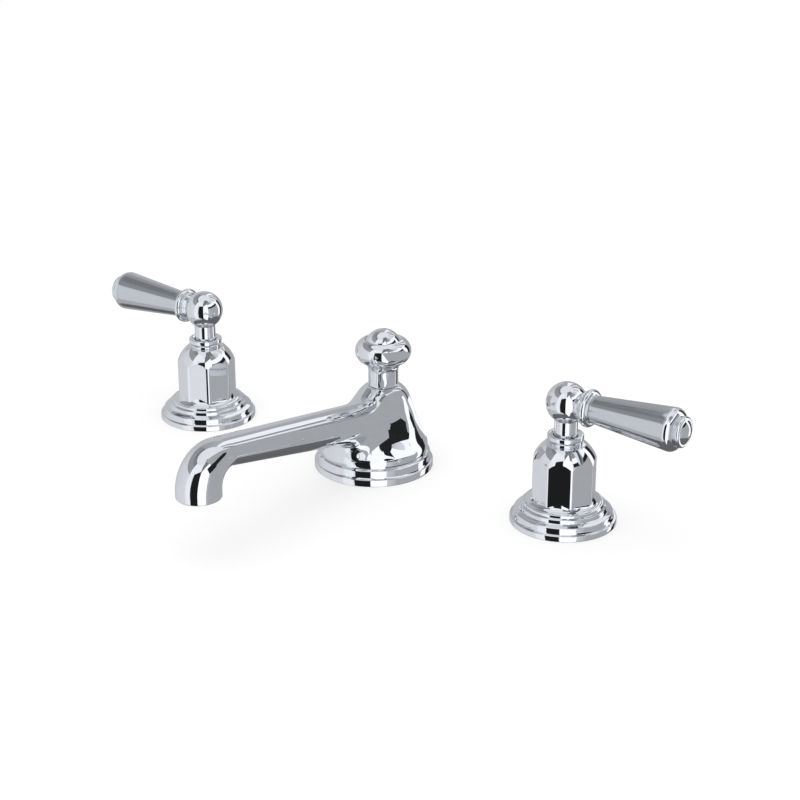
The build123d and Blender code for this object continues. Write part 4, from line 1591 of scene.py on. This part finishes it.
@dataclass
class Flange:
    """Round foot of a valve in four steps, with the collar that tops the bonnet."""

    bore_r: float = 12.85
    recess_r: float = 20.6
    recess_z: float = 1.8
    band_r: float = 22.9
    band_z: float = 2.55
    step_r: float = 21.2
    step_z: float = 3.4
    step_top_z: float = 5.3
    upper_r: float = 18.6
    upper_z: float = 6.4
    upper_top_z: float = 7.9
    rim_r: float = 17.2
    rim_z: float = 8.2
    top_z: float = 9.4
    cove: float = 0.45
    collar_bore_r: float = 5.3
    collar_foot_r: float = 7.2
    collar_foot_z: float = 35.6
    collar_waist_z: float = 37.0
    collar_band_z: float = 38.0
    collar_r: float = 7.8
    collar_lip_r: float = 6.6
    collar_dip: float = 0.5
    collar_top_z: float = 39.9

    def build(self, side: Side) -> None:
        """Make the flange and the collar of one valve.

        Args:
            side: The valve.
        """
        foot = Outline(self.bore_r, self.recess_z).lines(
            (self.recess_r, self.recess_z),
            (self.recess_r, 0.0),
            (self.band_r, 0.0, 0.1),
            (self.band_r, self.band_z, 0.25),
            (self.step_r + self.cove, self.band_z, 0.5),
            (self.step_r, self.step_z, 0.2),
            (self.step_r, self.step_top_z, 0.2),
            (self.upper_r + self.cove, self.upper_z - self.cove, 0.5),
            (self.upper_r, self.upper_z, 0.2),
            (self.upper_r, self.upper_top_z, 0.2),
            (self.rim_r, self.rim_z, 0.45),
            (self.rim_r, self.top_z, 0.15),
            (self.bore_r, self.top_z, 0.45),
            (self.bore_r, self.recess_z),
        )
        band = Outline(self.collar_bore_r, self.collar_foot_z).lines(
            (self.collar_foot_r, self.collar_foot_z),
            (self.collar_foot_r, self.collar_waist_z),
            (self.collar_r, self.collar_band_z, 0.3),
            (self.collar_r, self.collar_top_z, 0.4),
            (self.collar_lip_r, self.collar_top_z, 0.5),
            (self.collar_bore_r, self.collar_top_z - self.collar_dip, 0.3),
            (self.collar_bore_r, self.collar_foot_z, 0.1),
        )
        axis = TurningAxis((side.x, 0, 0))
        for part, outline, segments in (("flange", foot, 208), ("collar", band, 144)):
            piece = turn(f"{side.label}_{part}_turning", outline, axis, segments=segments)
            dress(piece, Slot.POLISHED_CHROME, Body.FIXED, f"{side.label}_{part}")


@dataclass
class Lever:
    """Handle: ball hub on a neck, beaded ring, satin grip, shoulder and end button."""

    ball_r: float = 8.9
    ball_z: float = 53.9
    neck_r: float = 5.0
    neck_bottom_z: float = 33.8
    boss_r: float = 5.6
    boss_start: float = 4.0
    boss_end: float = 8.25
    bore_r: float = 2.55
    small_bead_r: float = 6.95
    small_bead_foot_r: float = 6.6
    small_bead_end: float = 9.5
    bead_r: float = 8.15
    bead_round: float = 1.75
    ring_neck_r: float = 6.3
    ring_end: float = 13.5
    grip_start_r: float = 5.95
    grip_end: float = 49.6
    grip_end_r: float = 9.2
    shoulder_side: Point = (8.2, 52.25)
    shoulder_end: float = 53.2
    shoulder_end_r: float = 6.2
    button_r: float = 6.6
    button_foot_r: float = 5.9
    button_bead_start: float = 53.5
    button_bead_end: float = 55.7
    button_dome_r: float = 5.0
    button_dome_side: Point = (3.2, 56.9)
    button_end: float = 57.5
    button_bore_end: float = 54.7
    screw_z: float = 49.0
    screw_hole_r: float = 1.55
    screw_hole_depth: float = 4.6
    drill_past: float = 2.0

    def axis(self, side: Side) -> TurningAxis:
        """Give the lever's axis, outwards from the ball's centre."""
        outwards = (float(side.value), 0.0, 0.0)
        return TurningAxis((side.x, 0.0, self.ball_z), outwards, (0.0, 1.0, 0.0))

    def finish(
        self, side: Side, part: str, trim: str, outline: Outline, closed: bool = True
    ) -> Piece:
        """Turn and dress one piece of the lever.

        Args:
            side: Valve that it belongs to.
            part: Its CAD node, without the side.
            trim: Its own name, without the side.
            outline: Half section along the lever's axis.
            closed: Whether the outline is a ring round the axis.

        Returns:
            The dressed piece.
        """
        piece = turn(f"{side.label}_{trim}", outline, self.axis(side), closed, 144)
        slot = Slot.SATIN_CHROME if part == "lever_grip" else Slot.POLISHED_CHROME
        return dress(piece, slot, side.handle, f"{side.label}_{part}")

    def hub(self, side: Side) -> Piece:
        """Make the ball with its neck, the lever's boss and the set screw's hole.

        Args:
            side: Valve that it belongs to.

        Returns:
            The dressed piece.
        """
        neck_top = self.ball_z - sqrt(self.ball_r**2 - self.neck_r**2)
        outline = Outline(0.0, self.neck_bottom_z)
        outline.lines((self.neck_r, self.neck_bottom_z), (self.neck_r, neck_top, 0.3))
        outline.arc((self.ball_r, self.ball_z), (0.0, self.ball_z + self.ball_r), 0.35)
        ball = turn(f"{side.label}_ball", outline, TurningAxis((side.x, 0, 0)), False, 192)
        cut_away(ball, self.drill(side), "EXACT")
        stub = Outline(0.0, self.boss_start).line(self.boss_r, self.boss_start)
        stub.lines((self.boss_r, self.boss_end, 0.1), (0.0, self.boss_end, 0.1))
        boss = turn(f"{side.label}_boss", stub, self.axis(side), False, 96)
        piece = join(f"{side.label}_hub_turning", ball, boss)
        return dress(piece, Slot.POLISHED_CHROME, side.handle, f"{side.label}_hub")

    def drill(self, side: Side) -> Piece:
        """Make the drill of the set screw's hole in the back of the ball.

        Args:
            side: Valve that it belongs to.

        Returns:
            The drill as a plain solid.
        """
        skin = sqrt(self.ball_r**2 - (self.ball_z - self.screw_z) ** 2)
        low, high = skin - self.screw_hole_depth, skin + self.drill_past
        bit_r = self.screw_hole_r
        bit = Outline(0.0, low).lines((bit_r, low), (bit_r, high), (0.0, high))
        axis = TurningAxis((side.x, 0.0, self.screw_z), (0.0, 1.0, 0.0), (1.0, 0.0, 0.0))
        return turn("drill", bit, axis, False, 48)

    def ring(self, side: Side) -> Piece:
        """Make the small bead, the large bead and the neck that enters the grip.

        Args:
            side: Valve that it belongs to.

        Returns:
            The dressed piece.
        """
        start, middle = self.small_bead_end, self.small_bead_end + self.bead_round
        small_middle = (self.small_bead_r, (self.boss_end + start) / 2)
        outline = Outline(self.bore_r, self.boss_end)
        outline.line(self.small_bead_foot_r, self.boss_end)
        outline.arc(small_middle, (self.small_bead_foot_r, start), 0.1)
        outline.arc((self.bead_r, middle), (self.ring_neck_r, middle + self.bead_round), 0.08)
        outline.lines(
            (self.ring_neck_r, self.ring_end, 0.1),
            (self.bore_r, self.ring_end, 0.1),
            (self.bore_r, self.boss_end),
        )
        return self.finish(side, "lever_ring", "lever_beads", outline)

    def grip(self, side: Side) -> Piece:
        """Make the long satin cone."""
        outline = Outline(self.bore_r, self.ring_end).lines(
            (self.grip_start_r, self.ring_end),
            (self.grip_end_r, self.grip_end, 0.3),
            (self.bore_r, self.grip_end, 0.2),
            (self.bore_r, self.ring_end),
        )
        return self.finish(side, "lever_grip", "lever_cone", outline)

    def shoulder(self, side: Side) -> Piece:
        """Make the rounded ring at the grip's thick end.

        Args:
            side: Valve that it belongs to.

        Returns:
            The dressed piece.
        """
        outline = Outline(self.bore_r, self.grip_end).line(self.grip_end_r, self.grip_end)
        outline.arc(self.shoulder_side, (self.shoulder_end_r, self.shoulder_end), 0.12)
        outline.lines((self.bore_r, self.shoulder_end, 0.12), (self.bore_r, self.grip_end))
        return self.finish(side, "lever_shoulder", "lever_end_ring", outline)

    def button(self, side: Side) -> Piece:
        """Make the closed end nut: a bead round a low dome.

        Args:
            side: Valve that it belongs to.

        Returns:
            The dressed piece.
        """
        middle = (self.button_bead_start + self.button_bead_end) / 2
        outline = Outline(0.0, self.button_bore_end).lines(
            (self.bore_r, self.button_bore_end),
            (self.bore_r, self.shoulder_end),
            (self.button_foot_r, self.shoulder_end),
            (self.button_foot_r, self.button_bead_start),
        )
        outline.arc((self.button_r, middle), (self.button_foot_r, self.button_bead_end), 0.08)
        outline.line(self.button_dome_r, self.button_bead_end, 0.2)
        outline.arc(self.button_dome_side, (0.0, self.button_end), 0.15)
        return self.finish(side, "lever_button", "lever_end_button", outline, False)

    def build(self, side: Side) -> None:
        """Make the lever of one valve."""
        for make in (self.hub, self.ring, self.grip, self.shoulder, self.button):
            make(side)


@dataclass(frozen=True)
class Thread:
    """One screw thread in millimetres: foot of its axis, length, outer radius and pitch."""

    foot: Place
    length: float
    radius: float
    pitch: float = 1.81
    depth: float = 0.7
    sideways: bool = False

    def sizes(self) -> dict[str, float]:
        """Give the named sizes that the tree reads."""
        return {
            "x": self.foot[0],
            "y": self.foot[1],
            "z": self.foot[2],
            "length": self.length,
            "turns": self.length / self.pitch,
            "radius": self.radius,
            "depth": self.depth,
            "tilt": -pi / 2 if self.sideways else 0.0,
        }


@dataclass(frozen=True)
class ThreadedBodies:
    """Brass bodies under the deck: the CAD solids with their screw threads cut in."""

    barrel_r: float = 12.7
    barrel_span: Point = (-42.0, -2.5)
    inlet_r: float = 10.4
    inlet_span: Point = (-89.0, -71.0)
    outlet_r: float = 7.9
    outlet_z: float = -52.0
    outlet_span: Point = (14.8, 26.2)
    shank_y: float = -10.0
    shank_r: float = 8.3
    shank_span: Point = (-45.0, -2.5)
    shank_end_r: float = 7.2
    shank_end_span: Point = (-61.2, -47.4)
    fine: Point = (1.34, 0.55)
    steps: int = 32
    weld_m: float = 1e-6
    sharp: float = radians(30.0)

    @cache
    def tree(self) -> Tree:
        """Build the tree that winds a notch of diamond section round an axis.

        Returns:
            The tree, the same one at each call.
        """
        tree, size = start_tree("thread_notch", list(Thread((0, 0, 0), 1, 1).sizes()))
        links = {
            "Rotations": size["turns"],
            "Start Radius": size["radius"],
            "End Radius": size["radius"],
            "Height": size["length"],
        }
        winding = add_node(tree, "GeometryNodeCurveSpiral", {"Resolution": self.steps}, links)
        upright = {"mode": "Z_UP"}
        level = add_node(tree, "GeometryNodeSetCurveNormal", upright, {0: winding.outputs[0]})
        links = {"Radius": size["depth"]}
        diamond = add_node(tree, "GeometryNodeCurvePrimitiveCircle", {"Resolution": 4}, links)
        links = {"Curve": level.outputs[0], "Profile Curve": diamond.outputs[0]}
        notch = add_node(tree, "GeometryNodeCurveToMesh", {"Fill Caps": True}, links)
        turned = add_node(tree, "ShaderNodeCombineXYZ", {}, {0: size["tilt"]})
        links = {i: size[k] for i, k in enumerate("xyz")}
        place = add_node(tree, "ShaderNodeCombineXYZ", {}, links)
        links = {"Rotation": turned.outputs[0], "Translation": place.outputs[0]}
        put = add_node(tree, "GeometryNodeTransform", {}, {"Geometry": notch.outputs[0], **links})
        links = {"Geometry": put.outputs[0]}
        metres = add_node(tree, "GeometryNodeTransform", {"Scale": (MM,) * 3}, links)
        end_tree(tree, metres.outputs[0], Slot.RAW_BRASS)
        return tree

    def cut(self, name: str, *threads: Thread) -> Piece:
        """Copy a CAD node's solid, cut its threads and let the copy stand for the node.

        Args:
            name: Name of the CAD node.
            threads: Threads to cut.

        Returns:
            The copy with its threads.
        """
        node = frame["nodes"][name]
        work = bmesh.new()
        work.from_mesh(node.data)
        work.transform(node.matrix_world)
        bmesh.ops.remove_doubles(work, verts=work.verts, dist=self.weld_m)
        piece = link_bmesh(f"{name}_threaded", work)
        notches = join("notches", *(from_tree("notch", self.tree(), t.sizes()) for t in threads))
        cut_away(piece, notches, "MANIFOLD")
        piece.data.shade_smooth()
        piece.data.set_sharp_from_angle(angle=self.sharp)
        piece.visible_glossy = False
        return dress(piece, Slot.RAW_BRASS, Body.FIXED, name)

    def build(self) -> None:
        """Cut the threads of both valve bodies and of the spout's shank."""
        start, end = self.outlet_span
        for side in Side:
            foot = (side.x, start, self.outlet_z)
            outlet = Thread(foot, end - start, self.outlet_r, *self.fine, sideways=True)
            self.cut(
                f"{side.label}_valve_body",
                self.upright(side.x, 0.0, self.barrel_span, self.barrel_r),
                self.upright(side.x, 0.0, self.inlet_span, self.inlet_r),
                outlet,
            )
        self.cut(
            "spout_shank",
            self.upright(0.0, self.shank_y, self.shank_span, self.shank_r),
            self.upright(0.0, self.shank_y, self.shank_end_span, self.shank_end_r, *self.fine),
        )

    @staticmethod
    def upright(x: float, y: float, span: Point, radius: float, *form: float) -> Thread:
        """Give an upright thread.

        Args:
            x: Place of its axis on X.
            y: Place of its axis on Y.
            span: Heights between which it runs.
            radius: Outer radius.
            form: Pitch and depth, where they aren't the usual ones.

        Returns:
            The thread.
        """
        return Thread((x, y, span[0]), span[1] - span[0], radius, *form)


class KeptNodes:
    """CAD nodes that stay as they are and get their procedural finish by record slot."""

    def build(self) -> None:
        """Put the finish of its slot on every CAD node that still shows."""
        slots = {row["node"]: row["material_slot"] for row in frame["record"]["subparts"]}
        for name, node in frame["nodes"].items():
            if node.hide_render:
                continue
            node.visible_glossy = False
            finish = FINISHES[Slot(slots[name])].material()
            for index in range(max(1, len(node.data.materials))):
                if node.data.materials:
                    node.data.materials[index] = finish
                else:
                    node.data.materials.append(finish)
            LOG.info("%s keeps its CAD shape", name)


Grid = tuple[list[Place], list[Face], list[float]]


@dataclass(frozen=True)
class Card:
    """Flat card near the object: corners to the camera's right, towards the camera and up."""

    name: str
    corners: tuple[Place, ...]
    level: float

    def grid(self) -> Grid:
        """Give the card's places, its face and its light level at each place.

        Returns:
            Places, vertex numbers of each face, and the level at each place.
        """
        count = len(self.corners)
        return list(self.corners), [tuple(range(count))], [self.level] * count


@dataclass(frozen=True)
class Patch:
    """Curved card far from the object, between two turns from the camera and two rises."""

    name: str
    turn: Point
    rise: Point
    levels: Point
    radius: float = 3000.0
    centre_z: float = 45.0
    step: float = 5.0

    def grid(self) -> Grid:
        """Give the patch's places, faces and light levels, which change with the turn.

        Returns:
            Places, vertex numbers of each face, and the level at each place.
        """
        across = max(1, round((self.turn[1] - self.turn[0]) / self.step))
        upward = max(1, round((self.rise[1] - self.rise[0]) / self.step))
        places, levels = [], []
        for j in range(upward + 1):
            rise = radians(self.rise[0] + (self.rise[1] - self.rise[0]) * j / upward)
            out, height = self.radius * cos(rise), self.centre_z + self.radius * sin(rise)
            for i in range(across + 1):
                share = i / across
                turn = radians(self.turn[0] + (self.turn[1] - self.turn[0]) * share)
                places.append((out * sin(turn), out * cos(turn), height))
                levels.append(self.levels[0] + (self.levels[1] - self.levels[0]) * share)
        row = across + 1
        firsts = [j * row + i for j in range(upward) for i in range(across)]
        faces = [(first, first + 1, first + row + 1, first + row) for first in firsts]
        return places, faces, levels


@dataclass
class Studio:
    """Camera, floor, world, lamp and the cards that the chrome mirrors."""

    azimuth: float = 36.348
    elevation: float = 21.593
    distance: float = 815.942
    target: Place = (14.96, 0.0, 34.641)
    focal_px: float = 1820.628
    picture_px: float = 800.0
    sensor: float = 36.0
    clip: Point = (0.01, 50.0)
    floor_half: float = 4000.0
    floor_own_light: float = 0.6
    lamp_watts: float = 1.1
    lamp_size: float = 700.0
    lamp_place: Place = (-0.15, -0.25, 0.9)

    def directions(self) -> tuple[Vector, Vector, Vector]:
        """Give the camera's right, its level direction away from the object, and its back.

        Returns:
            Three directions of length 1.
        """
        a, e = radians(self.azimuth), radians(self.elevation)
        back = Vector((sin(a) * cos(e), -cos(a) * cos(e), sin(e)))
        return Vector((cos(a), sin(a), 0.0)), Vector((sin(a), -cos(a), 0.0)), back

    def camera(self) -> None:
        """Set up the camera at the photograph's place."""
        right, _, back = self.directions()
        data = bpy.data.cameras.new("photo_camera")
        data.sensor_width = self.sensor
        data.lens = self.focal_px * self.sensor / self.picture_px
        data.clip_start, data.clip_end = self.clip
        camera = link("photo_camera", data)
        turned = Matrix((right, back.cross(right), back)).transposed().to_4x4()
        place = Matrix.Translation((Vector(self.target) + back * self.distance) * MM)
        camera.matrix_world = place @ turned
        bpy.context.scene.camera = camera

    def floor(self) -> None:
        """Lay the plain white floor; the chrome mirrors the cards and the sky, not the floor."""
        half = self.floor_half
        corners = ((-half, -half, 0), (half, -half, 0), (half, half, 0), (-half, half, 0))
        piece = make_object("studio_floor", np.array(corners, float), [(0, 1, 2, 3)])
        shader = Shader("white_paper", "#FFFFFF", 0.0, 1.0)
        shader.set("Specular IOR Level", 0.0)
        rays = shader.add("ShaderNodeLightPath")
        own_light = {"operation": "MULTIPLY", 1: self.floor_own_light}
        seen = shader.add("ShaderNodeMath", own_light, {0: rays.outputs[0]})
        white = shader.add("ShaderNodeEmission")
        links = {0: seen.outputs[0], 1: shader.surface.outputs[0], 2: white.outputs[0]}
        mixed = shader.add("ShaderNodeMixShader", {}, links)
        surface = shader.tree.nodes["Material Output"].inputs["Surface"]
        shader.tree.links.new(mixed.outputs[0], surface)
        piece.data.materials.append(shader.material)
        piece.visible_glossy = False

    def world(self) -> None:
        """Set the plain white world."""
        world = bpy.data.worlds.new("white_studio")
        world.use_nodes = True
        back = world.node_tree.nodes["Background"]
        back.inputs["Color"].default_value = (1.0, 1.0, 1.0, 1.0)
        back.inputs["Strength"].default_value = 1.0
        bpy.context.scene.world = world

    def lamp(self) -> None:
        """Hang one large soft lamp over the object."""
        data = bpy.data.lights.new("overhead_softbox", "AREA")
        data.size = self.lamp_size * MM
        data.energy = self.lamp_watts
        lamp = link("overhead_softbox", data)
        lamp.location = self.lamp_place
        lamp.rotation_euler = Vector(self.lamp_place).to_track_quat("Z", "Y").to_euler()
        lamp.visible_glossy = False

    def card(self, card: "Card | Patch") -> None:
        """Hang one card, seen in reflections only.

        Args:
            card: Flat card near the object, or curved patch far from it.
        """
        right, front, _ = self.directions()
        places, faces, levels = card.grid()
        world = [tuple(right * r + front * f + Vector((0, 0, z))) for r, f, z in places]
        piece = make_object(card.name, np.array(world), faces)
        shade = piece.data.attributes.new("level", "FLOAT", "POINT")
        shade.data.foreach_set("value", levels)
        piece.data.materials.append(self.glow())
        piece.visible_camera = False
        piece.visible_diffuse = False
        piece.visible_shadow = False

    @staticmethod
    @cache
    def glow() -> bpy.types.Material:
        """Give the cards' material: plain light at the level stored in the mesh.

        Returns:
            The material, the same one at each call.
        """
        material = bpy.data.materials.new("studio_card")
        material.use_nodes = True
        tree = material.node_tree
        tree.nodes.clear()
        level = add_node(tree, "ShaderNodeAttribute", {"attribute_name": "level"})
        cool_white, links = {"Color": linear("#F6F8FC")}, {"Strength": level.outputs["Fac"]}
        light = add_node(tree, "ShaderNodeEmission", cool_white, links)
        add_node(tree, "ShaderNodeOutputMaterial", {}, {"Surface": light.outputs[0]})
        return material

    def build(self, cards: Sequence["Card | Patch"]) -> None:
        """Set up the whole studio.

        Args:
            cards: Cards to hang.
        """
        self.camera()
        self.floor()
        self.world()
        self.lamp()
        for card in cards:
            self.card(card)


CARDS = (
    Card(
        "black_front_card",
        ((-628, 848, -690), (-82, 832, -690), (-82, 832, 760), (-628, 848, 760)),
        0.016,
    ),
    Card(
        "white_front_card",
        ((-56, 815, -620), (200, 425, -620), (200, 425, 700), (-56, 815, 700)),
        1.35,
    ),
    Card(
        "bell_grey_flag_1",
        (
            (38.7, -11.2, 17.5), (40.9, -19.8, 17.9), (28.9, -15.1, 46.5), (0.8, 39.9, 81.8),
            (19.3, 44.9, 29.2), (25.4, 29.9, 23.6), (21.3, 25.5, 37.6), (29.5, -7.1, 39.2),
        ),
        0.46,
    ),
    Card(
        "bell_black_flag_2",
        (
            (16.2, 11.4, 16.8), (27.3, 5.2, 26.4), (26.4, 9.2, 32.4), (28.5, 10, 38),
            (24.9, 12.5, 36.1), (18.3, 14.9, 29), (15.2, 17, 25.2), (12.4, 18.6, 23.8),
            (9.7, 23, 26.7), (7.6, 24.9, 26.4), (8.4, 21.6, 21.6),
        ),
        0.02,
    ),
    Card(
        "bell_grey_flag_3",
        (
            (-2.4, 20, 9.1), (2, 15.8, 9.7), (11.1, 15.3, 26.3), (23.1, 4.7, 29), (34.5, 0.4, 42.8),
            (22.6, 11, 40.1), (9.5, 18.3, 29), (3, 25.3, 29.9), (-6.4, 31.7, 24.2),
            (-9.1, 35.8, 26.9), (-9.9, 30.5, 15.1), (-3.8, 27.5, 20.9), (0.6, 22.9, 20.6),
            (-4.3, 24.5, 14.2),
        ),
        0.46,
    ),
    Card(
        "tube_grey_flag_4",
        (
            (-25.4, 59.2, 33.2), (-29.2, 53, 37.7), (-30.2, 53, 38.8), (-39.1, 66.1, 49.5),
            (-43.5, 72.5, 54.7), (-47, 81.6, 58.8), (-65.7, 110.2, 81.2), (-56.5, 113.4, 70.2),
            (-46.8, 113.2, 58.6), (-46.2, 102.9, 57.9), (-38.5, 113.2, 48.7), (-38, 87.1, 48.1),
            (-28.9, 95.6, 37.3),
        ),
        0.46,
    ),
    Card(
        "bell_black_flag_5",
        (
            (6.6, 23.8, 11.3), (10.1, 21.8, 11.8), (10.5, 21.5, 19.8), (13.7, 19.7, 24.6),
            (12.2, 20.6, 26.8), (6.6, 23.8, 26.5), (3.6, 25.6, 21.4), (3.6, 25.6, 18.2),
        ),
        0.02,
    ),
    Card(
        "bell_white_flag_6",
        (
            (1.1, 27, 11.3), (6.6, 23.8, 14), (10.8, 21.4, 11), (22.3, 14.8, 11.8),
            (28.6, 11.1, 15), (27.8, 11.6, 23), (17.7, 17.4, 18), (12.2, 20.6, 23.3),
            (6.6, 23.8, 22.4), (3.9, 25.4, 27.8), (1.1, 27, 28.1), (-3.7, 29.8, 24.6),
            (-4.7, 30.3, 21.4),
        ),
        1.25,
    ),
    Card(
        "bell_white_flag_7",
        (
            (26, -5.2, 11.3), (26, -10.9, 11.8), (26, -12.8, 19.8), (26, -14.8, 22.9),
            (26, -16.4, 23.1), (26, -21.2, 19), (26, -25.9, 26.2), (26, -19.6, 28.5),
            (26, -11.6, 30), (26, -9.6, 29.4), (26, -4.8, 21.4),
        ),
        1.25,
    ),
    Card(
        "bell_black_flag_8",
        (
            (31.4, -2, 21.4), (31.4, -3.6, 21.2), (30.4, -5.5, 23.9), (28.4, -5.2, 29.4),
            (29.9, -1.7, 25.4),
        ),
        0.02,
    ),
    Card(
        "tube_black_flag_9",
        (
            (-50.9, 117.8, 48.8), (-47.6, 108.7, 49.7), (-45.9, 94.8, 52.9), (-47, 90.4, 54.7),
            (-48.4, 90.1, 55.5), (-50.4, 92.3, 55.9), (-53.7, 103.3, 54.4), (-59.2, 113, 54.3),
        ),
        0.02,
    ),
    Card(
        "tube_grey_flag_12",
        (
            (-70.2, 106.7, 15.3), (-62.5, 94.5, 16.8), (-57.5, 90, 22.4), (-52.8, 83.5, 24.7),
            (-50.9, 83.7, 29.6), (-51.1, 87.4, 34.1), (-49.5, 89, 40.1), (-50.7, 92, 41.4),
            (-55, 97, 38.1), (-54.4, 100.7, 44.6), (-56.5, 103.5, 43.5), (-57.5, 100.7, 37.1),
            (-63.5, 103.1, 26.1), (-68.7, 108.1, 20.6),
        ),
        0.46,
    ),
    Card(
        "tube_grey_flag_13",
        ((-7.9, 37.7, 23.5), (7, 17.5, 23.5), (7, 17.5, 33.8), (-7.9, 37.7, 33.8)),
        0.46,
    ),
    Patch("back_left", (-180, -150), (-32, 32), (0.6, 0.62)),
    Patch("left_back", (-150, -120), (-32, 32), (0.62, 0.78)),
    Patch("left", (-120, -62), (-32, 32), (0.78, 0.86)),
    Patch("left_front", (-62, -40), (-40, 32), (1.0, 1.1)),
    Patch("front_left", (-40, -4), (-40, 40), (0.9, 1.0)),
    Patch("front_right", (-4, 26), (-36, 40), (1.3, 1.3)),
    Patch("right_front", (26, 45), (-32, 21), (0.72, 0.52)),
    Patch("right", (45, 103), (-32, 21), (0.47, 0.45)),
    Patch("right_white", (103, 119), (-26, 36), (1.3, 1.3)),
    Patch("right_black", (119.5, 136), (-30, 27), (0.02, 0.02)),
    Patch("right_edge", (119, 119.5), (-30, 27), (0.5, 0.5)),
    Patch("back_right", (136, 180), (-32, 22), (0.46, 0.47)),
    Patch("right_foot", (103, 136), (-33, -25), (0.5, 0.5), 3100.0),
    Patch("under_left_edge", (-150, -20), (-49, -31), (0.6, 0.62), 3100.0),
    Patch("under_right_edge", (-20, 180), (-49, -31), (0.16, 0.16), 3100.0),
    Patch("under_back_edge", (-180, -150), (-49, -31), (0.3, 0.5), 3100.0),
    Patch("under", (-180, 180), (-90, -48), (0.15, 0.15)),
    Patch("top_back_left", (-180, -150), (32, 60), (0.5, 0.4)),
    Patch("top_left", (-150, -62), (32, 50), (0.34, 0.38)),
    Patch("top_left_band", (-150, -62), (50, 60), (0.24, 0.28)),
    Patch("top_front_left", (-62, -5), (32, 60), (1.1, 1.05), 3100.0),
    Patch("top_front", (-5, 30), (36, 60), (0.23, 0.23), 3100.0),
    Patch("strip_black", (29, 103), (21, 31), (0.02, 0.02)),
    Patch("strip_white", (29, 103), (31, 45), (1.25, 1.2)),
    Patch("strip_grey", (30, 60), (45, 60), (0.36, 0.36)),
    Patch("top_right", (60, 103), (45, 62), (0.6, 1.0)),
    Patch("top_right_back", (103, 120), (36, 62), (0.75, 0.7)),
    Patch("back_white_1", (120, 131), (27, 58), (1.1, 1.0)),
    Patch("back_grey_1", (131, 142), (27, 58), (0.36, 0.34)),
    Patch("back_white_2", (142, 150), (27, 58), (1.0, 1.0)),
    Patch("back_grey_2", (150, 157), (22, 58), (0.36, 0.36)),
    Patch("back_white_3", (157, 172), (22, 58), (1.1, 1.1)),
    Patch("back_grey_3", (172, 180), (22, 60), (0.48, 0.5)),
    Patch("zenith_dark", (0, 60), (60, 76), (0.22, 0.24)),
    Patch("zenith", (-180, 180), (58, 90), (0.95, 0.95), 3200.0),
)


def main() -> None:
    """Build the faucet and its studio."""
    logging.basicConfig(level=logging.INFO, format="%(name)s: %(message)s")
    scene = bpy.context.scene
    scene.view_settings.view_transform = "Standard"
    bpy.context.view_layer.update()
    Studio().build(CARDS)
    SpoutBody().build()
    SpoutTrim().build()
    bonnet = Bonnet()
    for side in Side:
        Flange().build(side)
        bonnet.build(side)
        Lever().build(side)
    ThreadedBodies().build()
    KeptNodes().build()


if __name__ == "__main__":
    main()
